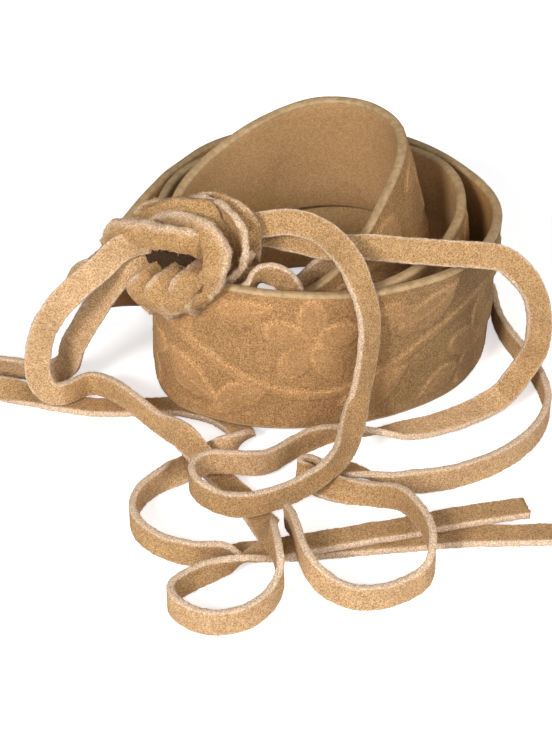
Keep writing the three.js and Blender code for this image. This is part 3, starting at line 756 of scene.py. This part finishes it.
# Loose fibres along the cut edges and here and there on the faces, one thin triangle each.
def fibreSpikes(rings, away, edge, cut, length, seed):
    dice = np.random.default_rng(int(seed * 100))
    count = int(cut["fibres"] * length)
    share = edge[0] ** 2 + cut["faceFibres"]
    share /= share.sum()
    ring = dice.integers(0, len(rings) - 1, count)
    column = dice.choice(len(share), count, p=share)
    slide = dice.random(count)[:, None]
    root = rings[ring, column] * (1 - slide) + rings[ring + 1, column] * slide
    lean = unitRows(away[ring, column] + cut["fibreSpread"] * dice.normal(size=(count, 3)))
    reach = cut["fibreLength"] * (cut["shortest"] + dice.random(count) ** 2)[:, None]
    width = np.cross(lean, dice.normal(size=(count, 3)))
    width *= cut["fibreWidth"] / np.linalg.norm(width, axis=1)[:, None]
    root = root - away[ring, column] * cut["fibreRoot"]
    spikes = np.stack([root - width, root + width, root + lean * reach], axis=1)
    spikes[:, :, 2] = np.maximum(spikes[:, :, 2], cut["floorGap"])
    return spikes


# A length of lace as one mesh, with its middle line.
def ribbonPiece(name, rows, material, cut, seed, pinch=None, gold=None, paleSide=0):
    path, out, up, at = ribbonPath(rows, cut["step"])
    section = laceSection(cut)
    wide = cut["width"] / 2
    across, lift, edge = (np.array([row[k] for row in section])[None, :] for k in range(3))
    edge = np.repeat(edge, len(at), axis=0)
    wander = []
    for side in (0, 1):
        slow = lineNoise(at, cut["wanderSize"], seed, side * 9)
        quick = lineNoise(at, cut["flutterSize"], seed, side * 9 + 4)
        wander.append(1 + cut["edgeWander"] * (slow + cut["flutter"] * quick))
    stretch = np.where(lift > 0, wander[0][:, None], wander[1][:, None])
    b = lift * stretch
    if pinch:
        # The lace gathers where it runs through its hole.
        apart = np.linalg.norm(path - np.array(pinch) * mm, axis=1)
        gather = cut["pinchDepth"] * np.exp(-(apart / cut["pinchReach"]) ** 2)[:, None]
        b = b * (1 - gather)
        across = across * (1 + cut["pinchSwell"] * gather)
    cup = lineNoise(at, cut["cupSize"], seed, 31)[:, None]
    a = across + cup * cut["cupping"] * ((lift / wide) ** 2 - cut["cupRest"])
    if cut["bow"]:
        # A band of the knot bulges away from the knot's middle.
        side = np.sum(out * (path - np.array(knotCore["centre"]) * mm), axis=1)
        side = np.tanh(side / cut["bowBlend"])[:, None]
        a = a + side * cut["bow"] * (cut["bowRest"] - (lift / wide) ** 2)
    rings = path[:, None, :] + out[:, None, :] * a[:, :, None] + up[:, None, :] * b[:, :, None]
    flat = rings.reshape(-1, 3)
    if cut["crumple"]:
        shift = Vector((seed, 0, 0))
        for size, share in cut["creases"]:
            creases = np.array([noise.noise_vector(Vector(p) / size + shift) for p in flat])
            flat = flat + creases * cut["crumple"] * share
        rings = flat.reshape(rings.shape)
    nap = softNoise(flat, cut["napSize"], seed).reshape(edge.shape)
    lump = softNoise(flat, cut["lumpSize"], seed + 5).reshape(edge.shape)
    away = rings - (path[:, None, :] + up[:, None, :] * (b * cut["fibreHeart"])[:, :, None])
    away /= np.maximum(np.linalg.norm(away, axis=2), 1e-9)[:, :, None]
    fuzz = cut["fuzz"] * (nap * (cut["napOnFace"] + edge) + cut["lumpShare"] * lump)
    rings = rings + away * fuzz[:, :, None]
    rings[:, :, 2] = np.maximum(rings[:, :, 2], cut["floorGap"])
    if cut["patchy"]:
        # The pale cut comes and goes, and is half as strong on a band's far edge.
        patches = softNoise(rings.reshape(-1, 3), cut["patchSize"], seed + 9)
        pale, swing = cut["patchTone"]
        patches = np.clip(pale + swing * patches, 0.1, 1).reshape(edge.shape)
        farEdge = cut["farEdge"] if paleSide else 1.0
        edge = edge * np.where(lift * paleSide > 0, 1.0, patches * farEdge)
    # Each listed point says which way the leather's golden side looks near it.
    goldSide = np.ones(len(at))
    if gold:
        marks = [int(np.argmin(np.linalg.norm(path - np.array(point) * mm, axis=1)))
                 for point, look in gold]
        signs = [np.sign(np.dot(out[mark], look)) for mark, (point, look) in zip(marks, gold)]
        steps = np.abs(np.arange(len(at))[:, None] - np.array(marks)[None, :])
        goldSide = np.array(signs)[np.argmin(steps, axis=1)]
    ragged = lineNoise(lift[0], cut["tornSize"], seed, 57)
    rings[-1] += (path[-1] - path[-2])[None, :] / cut["step"] * (cut["tornEnd"] * ragged)[:, None]
    flesh = across * goldSide[:, None] < 0
    spikes = fibreSpikes(rings, away, edge, cut, at[-1], seed)
    masks = {"cutEdge": edge, "fleshSide": flesh.astype(float)}
    piece = ringMesh(name, rings, [material], masks, [0] * len(section), spikes)
    faceOutward(piece)
    return piece, path


# What lies at the knot was drawn on the photograph's frame. Such a row holds pixels across and
# down, millimetres nearer than the knot's middle, and the width direction as right, up and nearer.
picture = {
    "middle": (276, 366.5),
    "focus": 1740.947,      # pixels
    "knotAway": 486.0,      # millimetres
}


# Those rows as places in millimetres, to a hundredth, and directions.
def fromPicture(rows):
    pitch = math.radians(camera["pitch"])
    axes = np.array([(1, 0, 0), (0, math.cos(pitch), math.sin(pitch)),
                     (0, -math.sin(pitch), math.cos(pitch))])
    placed = []
    for across, down, nearer, *wide in rows:
        right = (across - picture["middle"][0]) / picture["focus"]
        up = (picture["middle"][1] - down) / picture["focus"]
        away = picture["knotAway"] - nearer
        point = np.array(camera["location"]) / mm + away * np.array((right, up, -1)) @ axes
        row = list(np.round(point, 2))
        if wide:
            row += list(np.round(np.array(wide) @ axes / np.linalg.norm(wide), 2))
        placed.append(row)
    return placed


laces = {
    "laceFront": {
        "node": "lace_front", "seed": 1.0, "farEnd": "object",
        "gold": [
            ((0, -35.4, 58), (0, -1, 0.5)), ((20.4, -58.5, 30), (0.3, -1, 0)),
            ((-16.9, -101.2, 8.6), (0, -1, 0)), ((42.6, -55.2, 3), (0, 0.5, -1)),
            ((70.6, -40.7, 22), (0.5, -1, 0)), ((47, -40.2, 50.5), (0, -1, 0.5)),
        ],
        "rows": [
            (-21.9, -37.2, 55.5, 0, 0.5, 0.8), (-16.9, -36.2, 56.6), (-11.4, -35.6, 57.1),
            (-5.4, -35.5, 57.9), (-0.5, -35.4, 58.1), (4.5, -37.4, 57.7, 0.2, 0.5, 0.8),
            (9, -41.3, 56.9, 0.4, 0.5, 0.7), (12.6, -46.2, 55.5, 0.7, 0.4, 0.5),
            (15.6, -51.7, 53.2, 0.8, 0.55, 0.3), (18.1, -55.2, 48.3, 0.72, 0.68, 0.2),
            (20.1, -57.2, 41.8, 0.72, 0.68, 0.1), (20.6, -58.2, 34.9, 0.72, 0.68, 0),
            (20.1, -58.7, 27.6), (19.1, -59.2, 19.8, 0.72, 0.68, -0.1),
            (17.6, -61.7, 14, 0.72, 0.68, -0.2), (15.6, -70.7, 12, 0.8, 0.2, -0.5),
            (13.1, -79.7, 10.5, 0.6, 0.4, -0.7), (8.6, -86.7, 9.4, 0.3, 0.3, -0.9),
            (3.1, -91.7, 8.4, 0, 0, -1), (-3.4, -96.7, 8.4), (-10.4, -100.2, 8.4),
            (-16.9, -101.2, 8.6), (-22.9, -99.2, 9.4), (-27.4, -94.2, 9.8), (-27.9, -87.7, 9.8),
            (-24.4, -83.7, 9.8), (-18.9, -82.7, 9.2), (-13.4, -81.7, 8), (-8.4, -79.2, 6.5),
            (-4.4, -74.2, 5), (-0.4, -68.7, 4), (4.6, -64.7, 4), (12.1, -61.7, 4.2, 0, 0.4, -0.9),
            (23.1, -60.2, 3.4, 0, 0.8, -0.6), (32.6, -58.7, 2.9, 0, 0.97, 0.1),
            (42.6, -55.2, 2.9, -0.05, 0.95, 0.2), (52.6, -49.7, 3.4, -0.2, 0.88, 0.3),
            (60.6, -44.7, 5.2, -0.5, 0.5, 0.7), (65.6, -40.2, 9, -0.74, 0.3, 0.55),
            (69.1, -38.7, 14, -0.88, 0.2, 0.4), (70.6, -40.2, 20, -0.99, 0.05, 0.1),
            (70.6, -41.2, 27, -0.97, -0.2, -0.1), (69.6, -42.2, 34, -0.88, -0.42, -0.28),
            (67.1, -43.2, 41, -0.75, -0.51, -0.41), (63.6, -43.2, 46, -0.68, -0.47, -0.53),
            (59.1, -41.7, 49.5, -0.45, -0.49, -0.75), (54.1, -41.2, 50.5, -0.1, -0.5, -0.87),
            (47.1, -40.2, 50.5, 0, -0.5, -0.8), (38.1, -39.2, 50.5), (29.1, -37.7, 50.5),
            (20.6, -36.2, 50.5), (13, -37.3, 50.9), (7, -36.8, 51.3), (1, -34.4, 51.6),
            (-4.9, -32.5, 52.1), (-10.3, -32, 52.8), (-15.4, -32.5, 53.2), (-20.9, -33.7, 53),
        ],
    },
    "laceLeft": {
        "node": "lace_left", "seed": 2.0, "farEnd": "bare",
        "gold": [
            ((-73.5, -46.4, 23.7), (0, 1, 0)), ((-52.4, -44.7, 7), (0, -1, 0.3)),
            ((-38.4, -59.7, 5.6), (-0.7, -0.7, 0.3)), ((-19.9, -142.7, 4), (0, 1, 0)),
            ((38.6, -101.7, 3.6), (0, 0, 1)),
        ],
        "rows": [
            (-40.5, -43, 56.6, -0.21, 0.25, 0.95), (-45.3, -44.1, 56.2, -0.3, 0.24, 0.92),
            (-50, -46, 54.3, -0.4, 0.5, 0.7), (-52.9, -48.1, 51.9, -0.5, 0.4, 0.7),
            (-57.6, -49.5, 48.2, -0.6, 0.4, 0.7), (-62.6, -50.3, 43.8, -0.8, 0.3, 0.5),
            (-67.2, -49.9, 38.4, -0.9, 0.2, 0.3), (-70.8, -48.5, 31.9, -1, 0, 0.1),
            (-73.5, -46.4, 23.7, -1, 0, 0), (-74.6, -45.9, 16.1, -1, 0, -0.1),
            (-73.7, -46.2, 10.4, -0.8, -0.1, -0.6), (-70.4, -47.2, 7.6, -0.2, 0, -1),
            (-65.9, -44.7, 6.9, 0, 0, -1), (-59.9, -39.2, 6.2), (-52.4, -44.7, 7.1),
            (-45.4, -52.7, 7.1), (-38.4, -59.7, 5.6), (-31.9, -68.2, 7.9, -0.4, -0.4, -0.8),
            (-27.4, -74.2, 6.2, -0.7, -0.6, -0.2), (-22.4, -80.7, 4.3, -0.8, -0.6, 0),
            (-17.4, -86.2, 2), (-12.4, -92.2, 1.25, -0.9, -0.5, 0),
            (-9.9, -98.2, 1.6, -0.9, -0.4, -0.1), (-7.9, -105.7, 4.4, -0.7, -0.2, -0.6),
            (-6.9, -113.2, 8.6, -0.3, -0.1, -1), (-4.9, -123.2, 9.6, 0, 0, -1), (-4.4, -129.2, 7),
            (-6.9, -134.7, 4.7), (-12.4, -140.2, 4), (-19.9, -142.7, 4), (-26.9, -140.7, 4),
            (-31.4, -135.7, 4), (-31.9, -131.2, 4), (-28.4, -127.2, 4), (-23.4, -123.7, 4.2),
            (-17.4, -121.9, 5.3, 0, 0.4, -0.9), (-10.4, -118, 5.5, 0, 0.9, -0.2),
            (-3.4, -113.2, 3.6, 0.2, 1, 0), (6.1, -110.7, 3.6), (17.1, -107.7, 3.6, 0.1, 1, 0),
            (27.6, -105.2, 3.6), (38.6, -101.7, 3.6), (50.1, -98.7, 3.6), (62.1, -95.7, 3.4),
        ],
    },
    "laceTail": {
        "node": "lace_tail", "seed": 3.0, "farEnd": "bare",
        "gold": [
            ((-59.5, -39.7, 25.9), (0, 1, 0)), ((-43.9, -98.2, 4), (-1, -0.3, 0)),
            ((43.6, -105.2, 1.1), (0, 0, 1)),
        ],
        "rows": [
            (-40.3, -42, 50.9, -0.51, 0.19, 0.84), (-44, -44.1, 51.4, -0.6, 0.15, 0.8),
            (-47.5, -45.7, 49, -0.68, 0.2, 0.69), (-50.5, -44.7, 45, -0.7, 0.3, 0.6),
            (-54.2, -42.3, 38.9, -0.8, 0.3, 0.5), (-57.2, -41.3, 33.5, -0.9, 0.2, 0.3),
            (-61.3, -39.7, 25.9), (-65.4, -36.6, 17.2), (-67.3, -34.1, 9.6, -0.5, 0.3, 0.8),
            (-73.4, -32, 5.2, -0.1, 0, 1), (-80.9, -28.7, 4.1, 0, -0.2, 1), (-88.4, -26.7, 4),
            (-94.9, -26.7, 4, 0, 0, 1), (-98.9, -29.2, 4), (-97.9, -33.7, 4), (-93.9, -36.2, 4),
            (-87.4, -38.2, 3.7, 0, 0.4, 0.9), (-80.9, -39.2, 2.4, 0.1, 0.9, 0.3),
            (-73.9, -40.7, 1.2, 0.1, 1, 0), (-65.9, -43.2, 1.1), (-57.4, -44.7, 1.1, 0, 1, 0),
            (-48.9, -44.7, 1.1), (-41.9, -44.2, 1.1, -0.1, 1, 0), (-34.9, -44.2, 1.1),
            (-27.9, -46.2, 1.1, 0.1, 1, 0), (-21.4, -49.9, 1.1, 0.4, 0.9, 0),
            (-16.7, -55.2, 1.13, 0.8, 0.5, 0), (-14.9, -60.2, 1.5, 0.9, 0.2, 0.1),
            (-15.5, -64.2, 3.4, 0.5, 0, 0.8), (-17.9, -67.7, 3.9, 0.1, 0, 1),
            (-21.9, -69.7, 3.2, -0.4, 0.6, 0.6), (-26.9, -71.2, 1.4, -0.4, 0.9, 0),
            (-31.4, -77.5, 2.7, -0.5, 0.8, 0.3), (-36.9, -83.7, 4, 0, 0, 1), (-41.9, -90.2, 4),
            (-43.9, -98.2, 4), (-41.9, -105.7, 4), (-35.9, -112.2, 4), (-27.9, -115.7, 4),
            (-20.4, -114.2, 3.6, 0, -0.3, 0.9), (-13.9, -112.2, 1.5, 0, -1, 0.1),
            (-6.4, -111.2, 1.1, 0, -1, 0), (2.1, -110.7, 1.1), (17.1, -108.7, 1.1, -0.1, -1, 0),
            (30.1, -107.2, 1.1), (43.6, -105.2, 1.1), (58.1, -104.7, 1.1, 0, -1, 0),
            (74.1, -104.2, 1.1),
        ],
    },
    "laceBack": {
        "node": "lace_back", "seed": 4.0, "farEnd": "bare",
        "pinch": (-55.12, -9.97, 26.79),
        "gold": [((14.6, -133.2, 4), (0, 1, 0))],
        "rows": [
            (-42.4, 5.3, 24, 0, 0, 1), (-44.9, -0.2, 24.5), (-47.9, -5.7, 25.5), (-51.7, -9.6, 26.6),
            (-55.1, -10, 26.8), (-58.2, -8.2, 26.9), (-62.4, -5.7, 25.5, 0, 0.1, 1),
            (-67.4, -0.7, 19.5, 0, 0.4, 0.9), (-70.9, 6.3, 11), (-71.9, 15.3, 5.8, 0, 0.2, 1),
            (-68.9, 27.3, 4.1, 0, 0, 1), (-61.9, 41.3, 4), (-46.9, 56.3, 4), (-27.9, 66.3, 4),
            (-4.9, 71.3, 4), (17.1, 69.3, 4), (37.1, 59.3, 4), (51.1, 45.3, 4), (60.1, 30.3, 4),
            (64.1, 16.3, 4), (64.6, 1.3, 4), (66.6, -9.7, 4), (69.6, -19.2, 4), (72.6, -29.2, 4),
            (74.1, -38.7, 4), (74.1, -47.2, 4), (71.6, -56.2, 4), (66.6, -65.2, 4), (59.1, -73.2, 4),
            (50.6, -79.2, 4), (41.6, -83.2, 4), (33.1, -84.7, 4), (25.6, -84.7, 3.7, 0, -0.3, 0.9),
            (19.1, -80.2, 2.9, -0.2, -0.8, 0.5), (13.1, -75.7, 1.3, -0.3, -0.9, 0),
            (8.6, -75.3, 2.5, -0.2, -0.9, 0.3), (4.6, -76.3, 3.4, -0.1, -0.3, 0.9),
            (1.5, -77.7, 4, 0, 0, 1), (0.7, -79.5, 3.8), (2.7, -80.9, 3.2, 0.2, 0.7, 0.6),
            (5.9, -82.3, 1.3, 0.3, 0.9, 0), (9.6, -85.7, 2.6, 0.2, 0.9, 0.3),
            (15.1, -89.7, 4.3, 0, 0.2, 1), (21.6, -92.2, 5.2, 0, 0, 1), (28.1, -98.2, 8.6),
            (32.6, -107.2, 9.5), (34.6, -114.2, 9.5), (34.6, -120.7, 8.6), (33.1, -125.7, 5.4),
            (28.6, -129.2, 4), (21.6, -132.7, 4), (14.6, -133.2, 4), (8.6, -130.7, 4.8),
            (4.1, -128.2, 8), (1.6, -123.2, 9.8), (0.1, -115.7, 9.8), (-0.9, -110.2, 9.4),
            (-2.4, -104.7, 7.6),
        ],
    },
    "laceInner": {
        "node": "lace_inner", "seed": 5.0, "farEnd": "bare",
        "pinch": (-0.14, -36.81, 24.92),
        "rows": fromPicture([
            (243, 292, -3, 0.3, 0.6, 0.6), (249, 286, -2, 0.4, 0.55, 0.6),
            (256, 278, -1, 0.5, 0.5, 0.6), (265, 274, 0, 0.55, 0.5, 0.6),
            (275, 274, 0.5, 0.65, 0.45, 0.55), (284, 279, 0, 0.7, 0.35, 0.55),
            (290, 287, -2, 0.75, 0.2, 0.55), (292, 295, -5, 0.85, 0.1, 0.2),
        ]) + [
            (-0.9, -42.5, 38, 1, 0, 0.1), (-0.7, -42.3, 33, 1, 0, 0), (-0.7, -41.8, 28),
            (-0.5, -40.7, 25.6), (-0.14, -36.8, 24.9), (0.1, -33.8, 26.4),
            (0.9, -32.7, 31, 0.9, 0, -0.4), (3, -32.3, 35.9, 0.8, 0.1, -0.6),
            (6.7, -31.3, 39.6, 0.7, 0.2, -0.6), (10.5, -30.1, 42.9, 0.7, 0.3, -0.6),
            (14.7, -28.7, 47.2),
        ],
    },
}

for name, lace in laces.items():
    piece, path = ribbonPiece(name, lace["rows"], "lace", laceCut, lace["seed"],
                              lace.get("pinch"), lace.get("gold"))
    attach(piece, "root")
    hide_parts(lace["node"])


knotCut = dict(laceCut, step=0.0005, thickness=0.0023, fuzz=0.0003, cupping=0.0005, edgeWander=0.1,
               bow=0.0009, crumple=0.0009, fibres=60000, fibreLength=0.0008, edgeReach=0.0034,
               edgeTone=0.9, patchy=True, tornEnd=0.0)
# The bands with one cut edge brushed up pale, and on which side of the band it is.
knotPale = {"frontWrap": 1, "turnedDown": 1, "thirdWrap": 1, "topWrap": -1, "lowWrap": -1}
# The two lumps that close the knot's gaps, in millimetres, and how both are made.
knotCore = {"centre": (-31.4, -38.9, 51.1), "radii": (13.5, 8.5, 8.5)}
knotUnder = {"centre": (-34.64, -47.2, 42.89), "radii": (10.5, 5.5, 6.2)}
lumps = {
    "rings": 41,
    "sides": 64,
    "poleGap": 0.01,        # share of the half turn
    "unevenness": 0.08,
    "noiseScale": 3.0,
    "backward": (0.84, -0.55),
    "plainFrom": -0.25,
}
# Every band in the rows of fromPicture.
knotBands = {
    "frontWrap": [
        (112, 248, -11, -0.5, 0.6, 0.3), (114, 237, -4, -0.45, 0.8, 0.4),
        (126, 231, 2, -0.1, 0.85, 0.5), (145, 234, 6.5, 0.05, 0.82, 0.57),
        (165, 238, 9.5, 0.1, 0.8, 0.6), (185, 242, 10), (200, 245, 8, 0.1, 0.85, 0.4),
        (211, 248, 1, 0.2, 0.9, 0),
    ],
    "turnedDown": [
        (160, 226, -1, 0.1, 0.55, 0.8), (178, 223, 4.5, 0.1, 0.5, 0.85),
        (195, 227, 8.5, 0.3, 0.45, 0.85), (208, 236, 11, 0.72, 0.4, 0.6),
        (215, 251, 12, 0.86, 0.1, 0.5), (216, 268, 11.5, 0.9, -0.15, 0.4),
        (209, 284, 8, 0.75, -0.55, 0.2), (197, 294, 1.5, 0.6, -0.7, -0.35),
        (184, 297, -5, 0.5, -0.7, -0.4),
    ],
    "lobeRight": [
        (200, 292, -16, -0.5, 0.4, 0.7), (196, 301, -7, -0.6, 0.5, 0.6),
        (186, 304, 0, -0.65, 0.55, 0.45), (180, 298, 6.5, -0.75, 0.6, 0.2),
        (185, 287, 9.5, -0.78, 0.6, 0.1), (197, 275, 7, -0.75, 0.65, 0.05),
        (206, 266, 1, -0.7, 0.65, 0),
    ],
    "lobeMiddle": [
        (180, 296, -16, -0.5, 0.4, 0.7), (173, 305, -7, -0.6, 0.5, 0.6),
        (162, 307, -1, -0.65, 0.55, 0.45), (156, 299, 4.5, -0.75, 0.6, 0.2),
        (164, 286, 6.5, -0.75, 0.6, 0.1), (178, 275, 3.5, -0.72, 0.65, 0.05),
        (190, 268, -3, -0.7, 0.65, 0),
    ],
    "lobeLeft": [
        (160, 296, -16, -0.5, 0.4, 0.7), (152, 302, -8, -0.6, 0.5, 0.6),
        (142, 300, -3, -0.65, 0.55, 0.45), (138, 292, 2, -0.75, 0.6, 0.25),
        (146, 282, 3, -0.7, 0.65, 0.2), (160, 274, 0, -0.65, 0.7, 0.1), (174, 269, -6, -0.6, 0.7, 0),
    ],
    "lowWrap": [
        (131, 280, -9, -0.5, 0.6, 0.5), (136, 292, -3, -0.4, 0.6, 0.6),
        (150, 301, 1.5, -0.2, 0.65, 0.7), (168, 305, 4, 0, 0.65, 0.72), (188, 303, 5, 0.2, 0.65, 0.7),
        (207, 296, 3, 0.4, 0.6, 0.6), (222, 285, -3, 0.6, 0.5, 0.4),
    ],
    "backSash": [
        (130, 242, -8, 0, 0.84, 0.55), (144, 230, -12), (168, 222, -14.5), (195, 220, -14.5),
        (222, 224, -12), (240, 235, -7),
    ],
    "backSashLow": [
        (136, 258, -11, 0, 0.84, 0.55), (150, 248, -14.5), (175, 243, -16.5), (200, 243, -16.5),
        (224, 248, -13.5), (236, 256, -9),
    ],
    "crownWrap": [
        (140, 236, -9, -0.3, 0.5, -0.8), (150, 222, -9.5, 0, 0.5, -0.85), (170, 213, -9.5),
        (195, 211, -9.5), (218, 215, -8.5), (236, 228, -8, 0.3, 0.5, -0.8),
    ],
    "topWrap": [
        (141, 238, -12, -0.6, 0.7, 0), (146, 226, -8, -0.5, 0.8, 0.1), (158, 216, -2, -0.3, 0.85, 0.4),
        (174, 210, 2, 0, 0.85, 0.5), (190, 209, 4, 0.15, 0.85, 0.5), (204, 213, 5, 0.45, 0.75, 0.45),
        (214, 224, 4.5, 0.8, 0.45, 0.3), (219, 238, 1.5, 0.95, 0.2, 0.1),
        (221, 254, -3, 0.95, 0, -0.1), (219, 268, -7, 0.9, -0.2, -0.2),
    ],
    "thirdWrap": [
        (188, 224, -11, 0.1, 0.8, 0.5), (192, 213, -7, 0.1, 0.7, 0.7), (200, 206, -2, 0.1, 0.5, 0.85),
        (214, 210, 1.5, 0.25, 0.45, 0.85), (227, 219, 4.5, 0.4, 0.35, 0.85),
        (238, 231, 5.5, 0.45, 0.2, 0.87), (243, 246, 5, 0.4, 0.05, 0.9),
        (240, 261, 3, 0.35, -0.1, 0.93), (232, 273, 0.5, 0.2, -0.3, 0.93),
        (223, 281, -4, 0, -0.4, 0.9),
    ],
    "rightWrap": [
        (184, 226, -12, -0.3, 0.9, 0), (190, 214, -9, -0.3, 0.9, 0.1), (206, 207, -4, 0, 0.95, 0.3),
        (222, 206, -1, 0.25, 0.9, 0.3), (237, 214, 0, 0.65, 0.7, 0.25),
        (246, 227, -0.5, 0.92, 0.35, 0.15), (249, 241, -2.5, 1, 0.05, 0),
        (245, 256, -7, 0.9, -0.25, -0.2),
    ],
    "backCorner": [
        (141, 226, -10, -0.5, 0.8, 0), (146, 216, -6.5, -0.45, 0.8, 0.3),
        (155, 211, -5, -0.1, 0.85, 0.5), (167, 212, -8, 0.2, 0.85, 0.3), (176, 224, -12, 0.3, 0.85, 0),
    ],
    "underTuck": [
        (222, 288, -3, 0.3, 0.5, 0.8), (231, 279, -3, 0.4, 0.5, 0.75), (240, 268, -4.5, 0.5, 0.5, 0.7),
        (247, 257, -7, 0.6, 0.5, 0.6), (252, 247, -10, 0.6, 0.5, 0.5),
    ],
    "tuckRight": [
        (214, 280, -7, 0, 0.9, 0.4), (228, 281, -7), (242, 281, -8), (255, 282, -9),
    ],
}

for index, (name, rows) in enumerate(knotBands.items()):
    piece, path = ribbonPiece("knot" + name[0].upper() + name[1:], fromPicture(rows), "knot",
                              knotCut, 10.0 + index, paleSide=knotPale.get(name, 0))
    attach(piece, "root")
    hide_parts("knot")


def makeKnotCore(name, core):
    turns = 2 * math.pi * np.arange(lumps["sides"]) / lumps["sides"]
    rings = []
    for i in range(lumps["rings"]):
        theta = math.pi * (lumps["poleGap"] + (1 - 2 * lumps["poleGap"]) * i / (lumps["rings"] - 1))
        ring = []
        for phi in turns:
            unit = Vector((math.cos(theta), math.sin(theta) * math.cos(phi),
                           math.sin(theta) * math.sin(phi)))
            swell = 1 + lumps["unevenness"] * noise.noise(unit * lumps["noiseScale"])
            ring.append([(c + r * u * swell) * mm
                         for c, r, u in zip(core["centre"], core["radii"], unit)])
        rings.append(ring)
    # The front of each lump is painted shade: near-black suede where the dark down the gaps between
    # the bands is seen; the knot's back is plain suede.
    backward = np.cos(turns) * lumps["backward"][0] + np.sin(turns) * lumps["backward"][1]
    slotOf = (backward > lumps["plainFrom"]).astype(int).tolist()
    noEdge = {"cutEdge": np.zeros((lumps["rings"], lumps["sides"]))}
    piece = ringMesh(name, np.array(rings), ["shade", "knot"], noEdge, slotOf)
    faceOutward(piece)
    return piece


for name, core in (("knotCore", knotCore), ("knotUnder", knotUnder)):
    piece = makeKnotCore(name, core)
    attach(piece, "root")
    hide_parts("knot")
print("knot tied")


studio = {
    "floorSize": 6.0,
    "aim": (0, -0.03, 0.02),
    "paperGlow": 0.55,
    "key": {"place": (-0.52, -0.94, 0.62), "size": 0.3, "power": 12.5},
    "front": {"place": (0.15, -1.0, 0.6), "size": 0.8, "power": 4.2},
    "fill": {"place": (0.8, -0.45, 0.6), "size": 0.6, "power": 4.2},
    "sky": 0.21,
}


def makeFloor():
    half = studio["floorSize"] / 2
    mesh = bpy.data.meshes.new("floor")
    mesh.from_pydata([(-half, -half, 0), (half, -half, 0), (half, half, 0), (-half, half, 0)], [],
                     [(0, 1, 2, 3)])
    floor = bpy.data.objects.new("floor", mesh)
    scene.collection.objects.link(floor)
    material, tree, shader = startMaterial("paleFloor", {
        "Base Color": (0.88, 0.88, 0.88, 1), "Roughness": 0.9, "Specular IOR Level": 0.1,
        "Emission Color": (1, 1, 1, 1),
    })
    # The sweep of white paper looks evenly lit to the lens, and lights nothing.
    seen = addNode(tree, "ShaderNodeLightPath").outputs["Is Camera Ray"]
    tree.links.new(combine(tree, "MULTIPLY", seen, studio["paperGlow"]),
                   shader.inputs["Emission Strength"])
    mesh.materials.append(material)
    return floor


def makeLight(name, values):
    data = bpy.data.lights.new(name, "AREA")
    data.shape = "DISK"
    data.size = values["size"]
    data.energy = values["power"]
    light = bpy.data.objects.new(name, data)
    light.location = values["place"]
    aim = Vector(studio["aim"]) - Vector(values["place"])
    light.rotation_euler = aim.to_track_quat("-Z", "Y").to_euler()
    scene.collection.objects.link(light)


makeFloor()
for name in ("key", "front", "fill"):
    makeLight(name, studio[name])
world = bpy.data.worlds.new("studio")
world.use_nodes = True
world.node_tree.nodes["Background"].inputs["Color"].default_value = (1, 1, 1, 1)
world.node_tree.nodes["Background"].inputs["Strength"].default_value = studio["sky"]
scene.world = world
scene.view_settings.view_transform = "Standard"
print("studio lit")
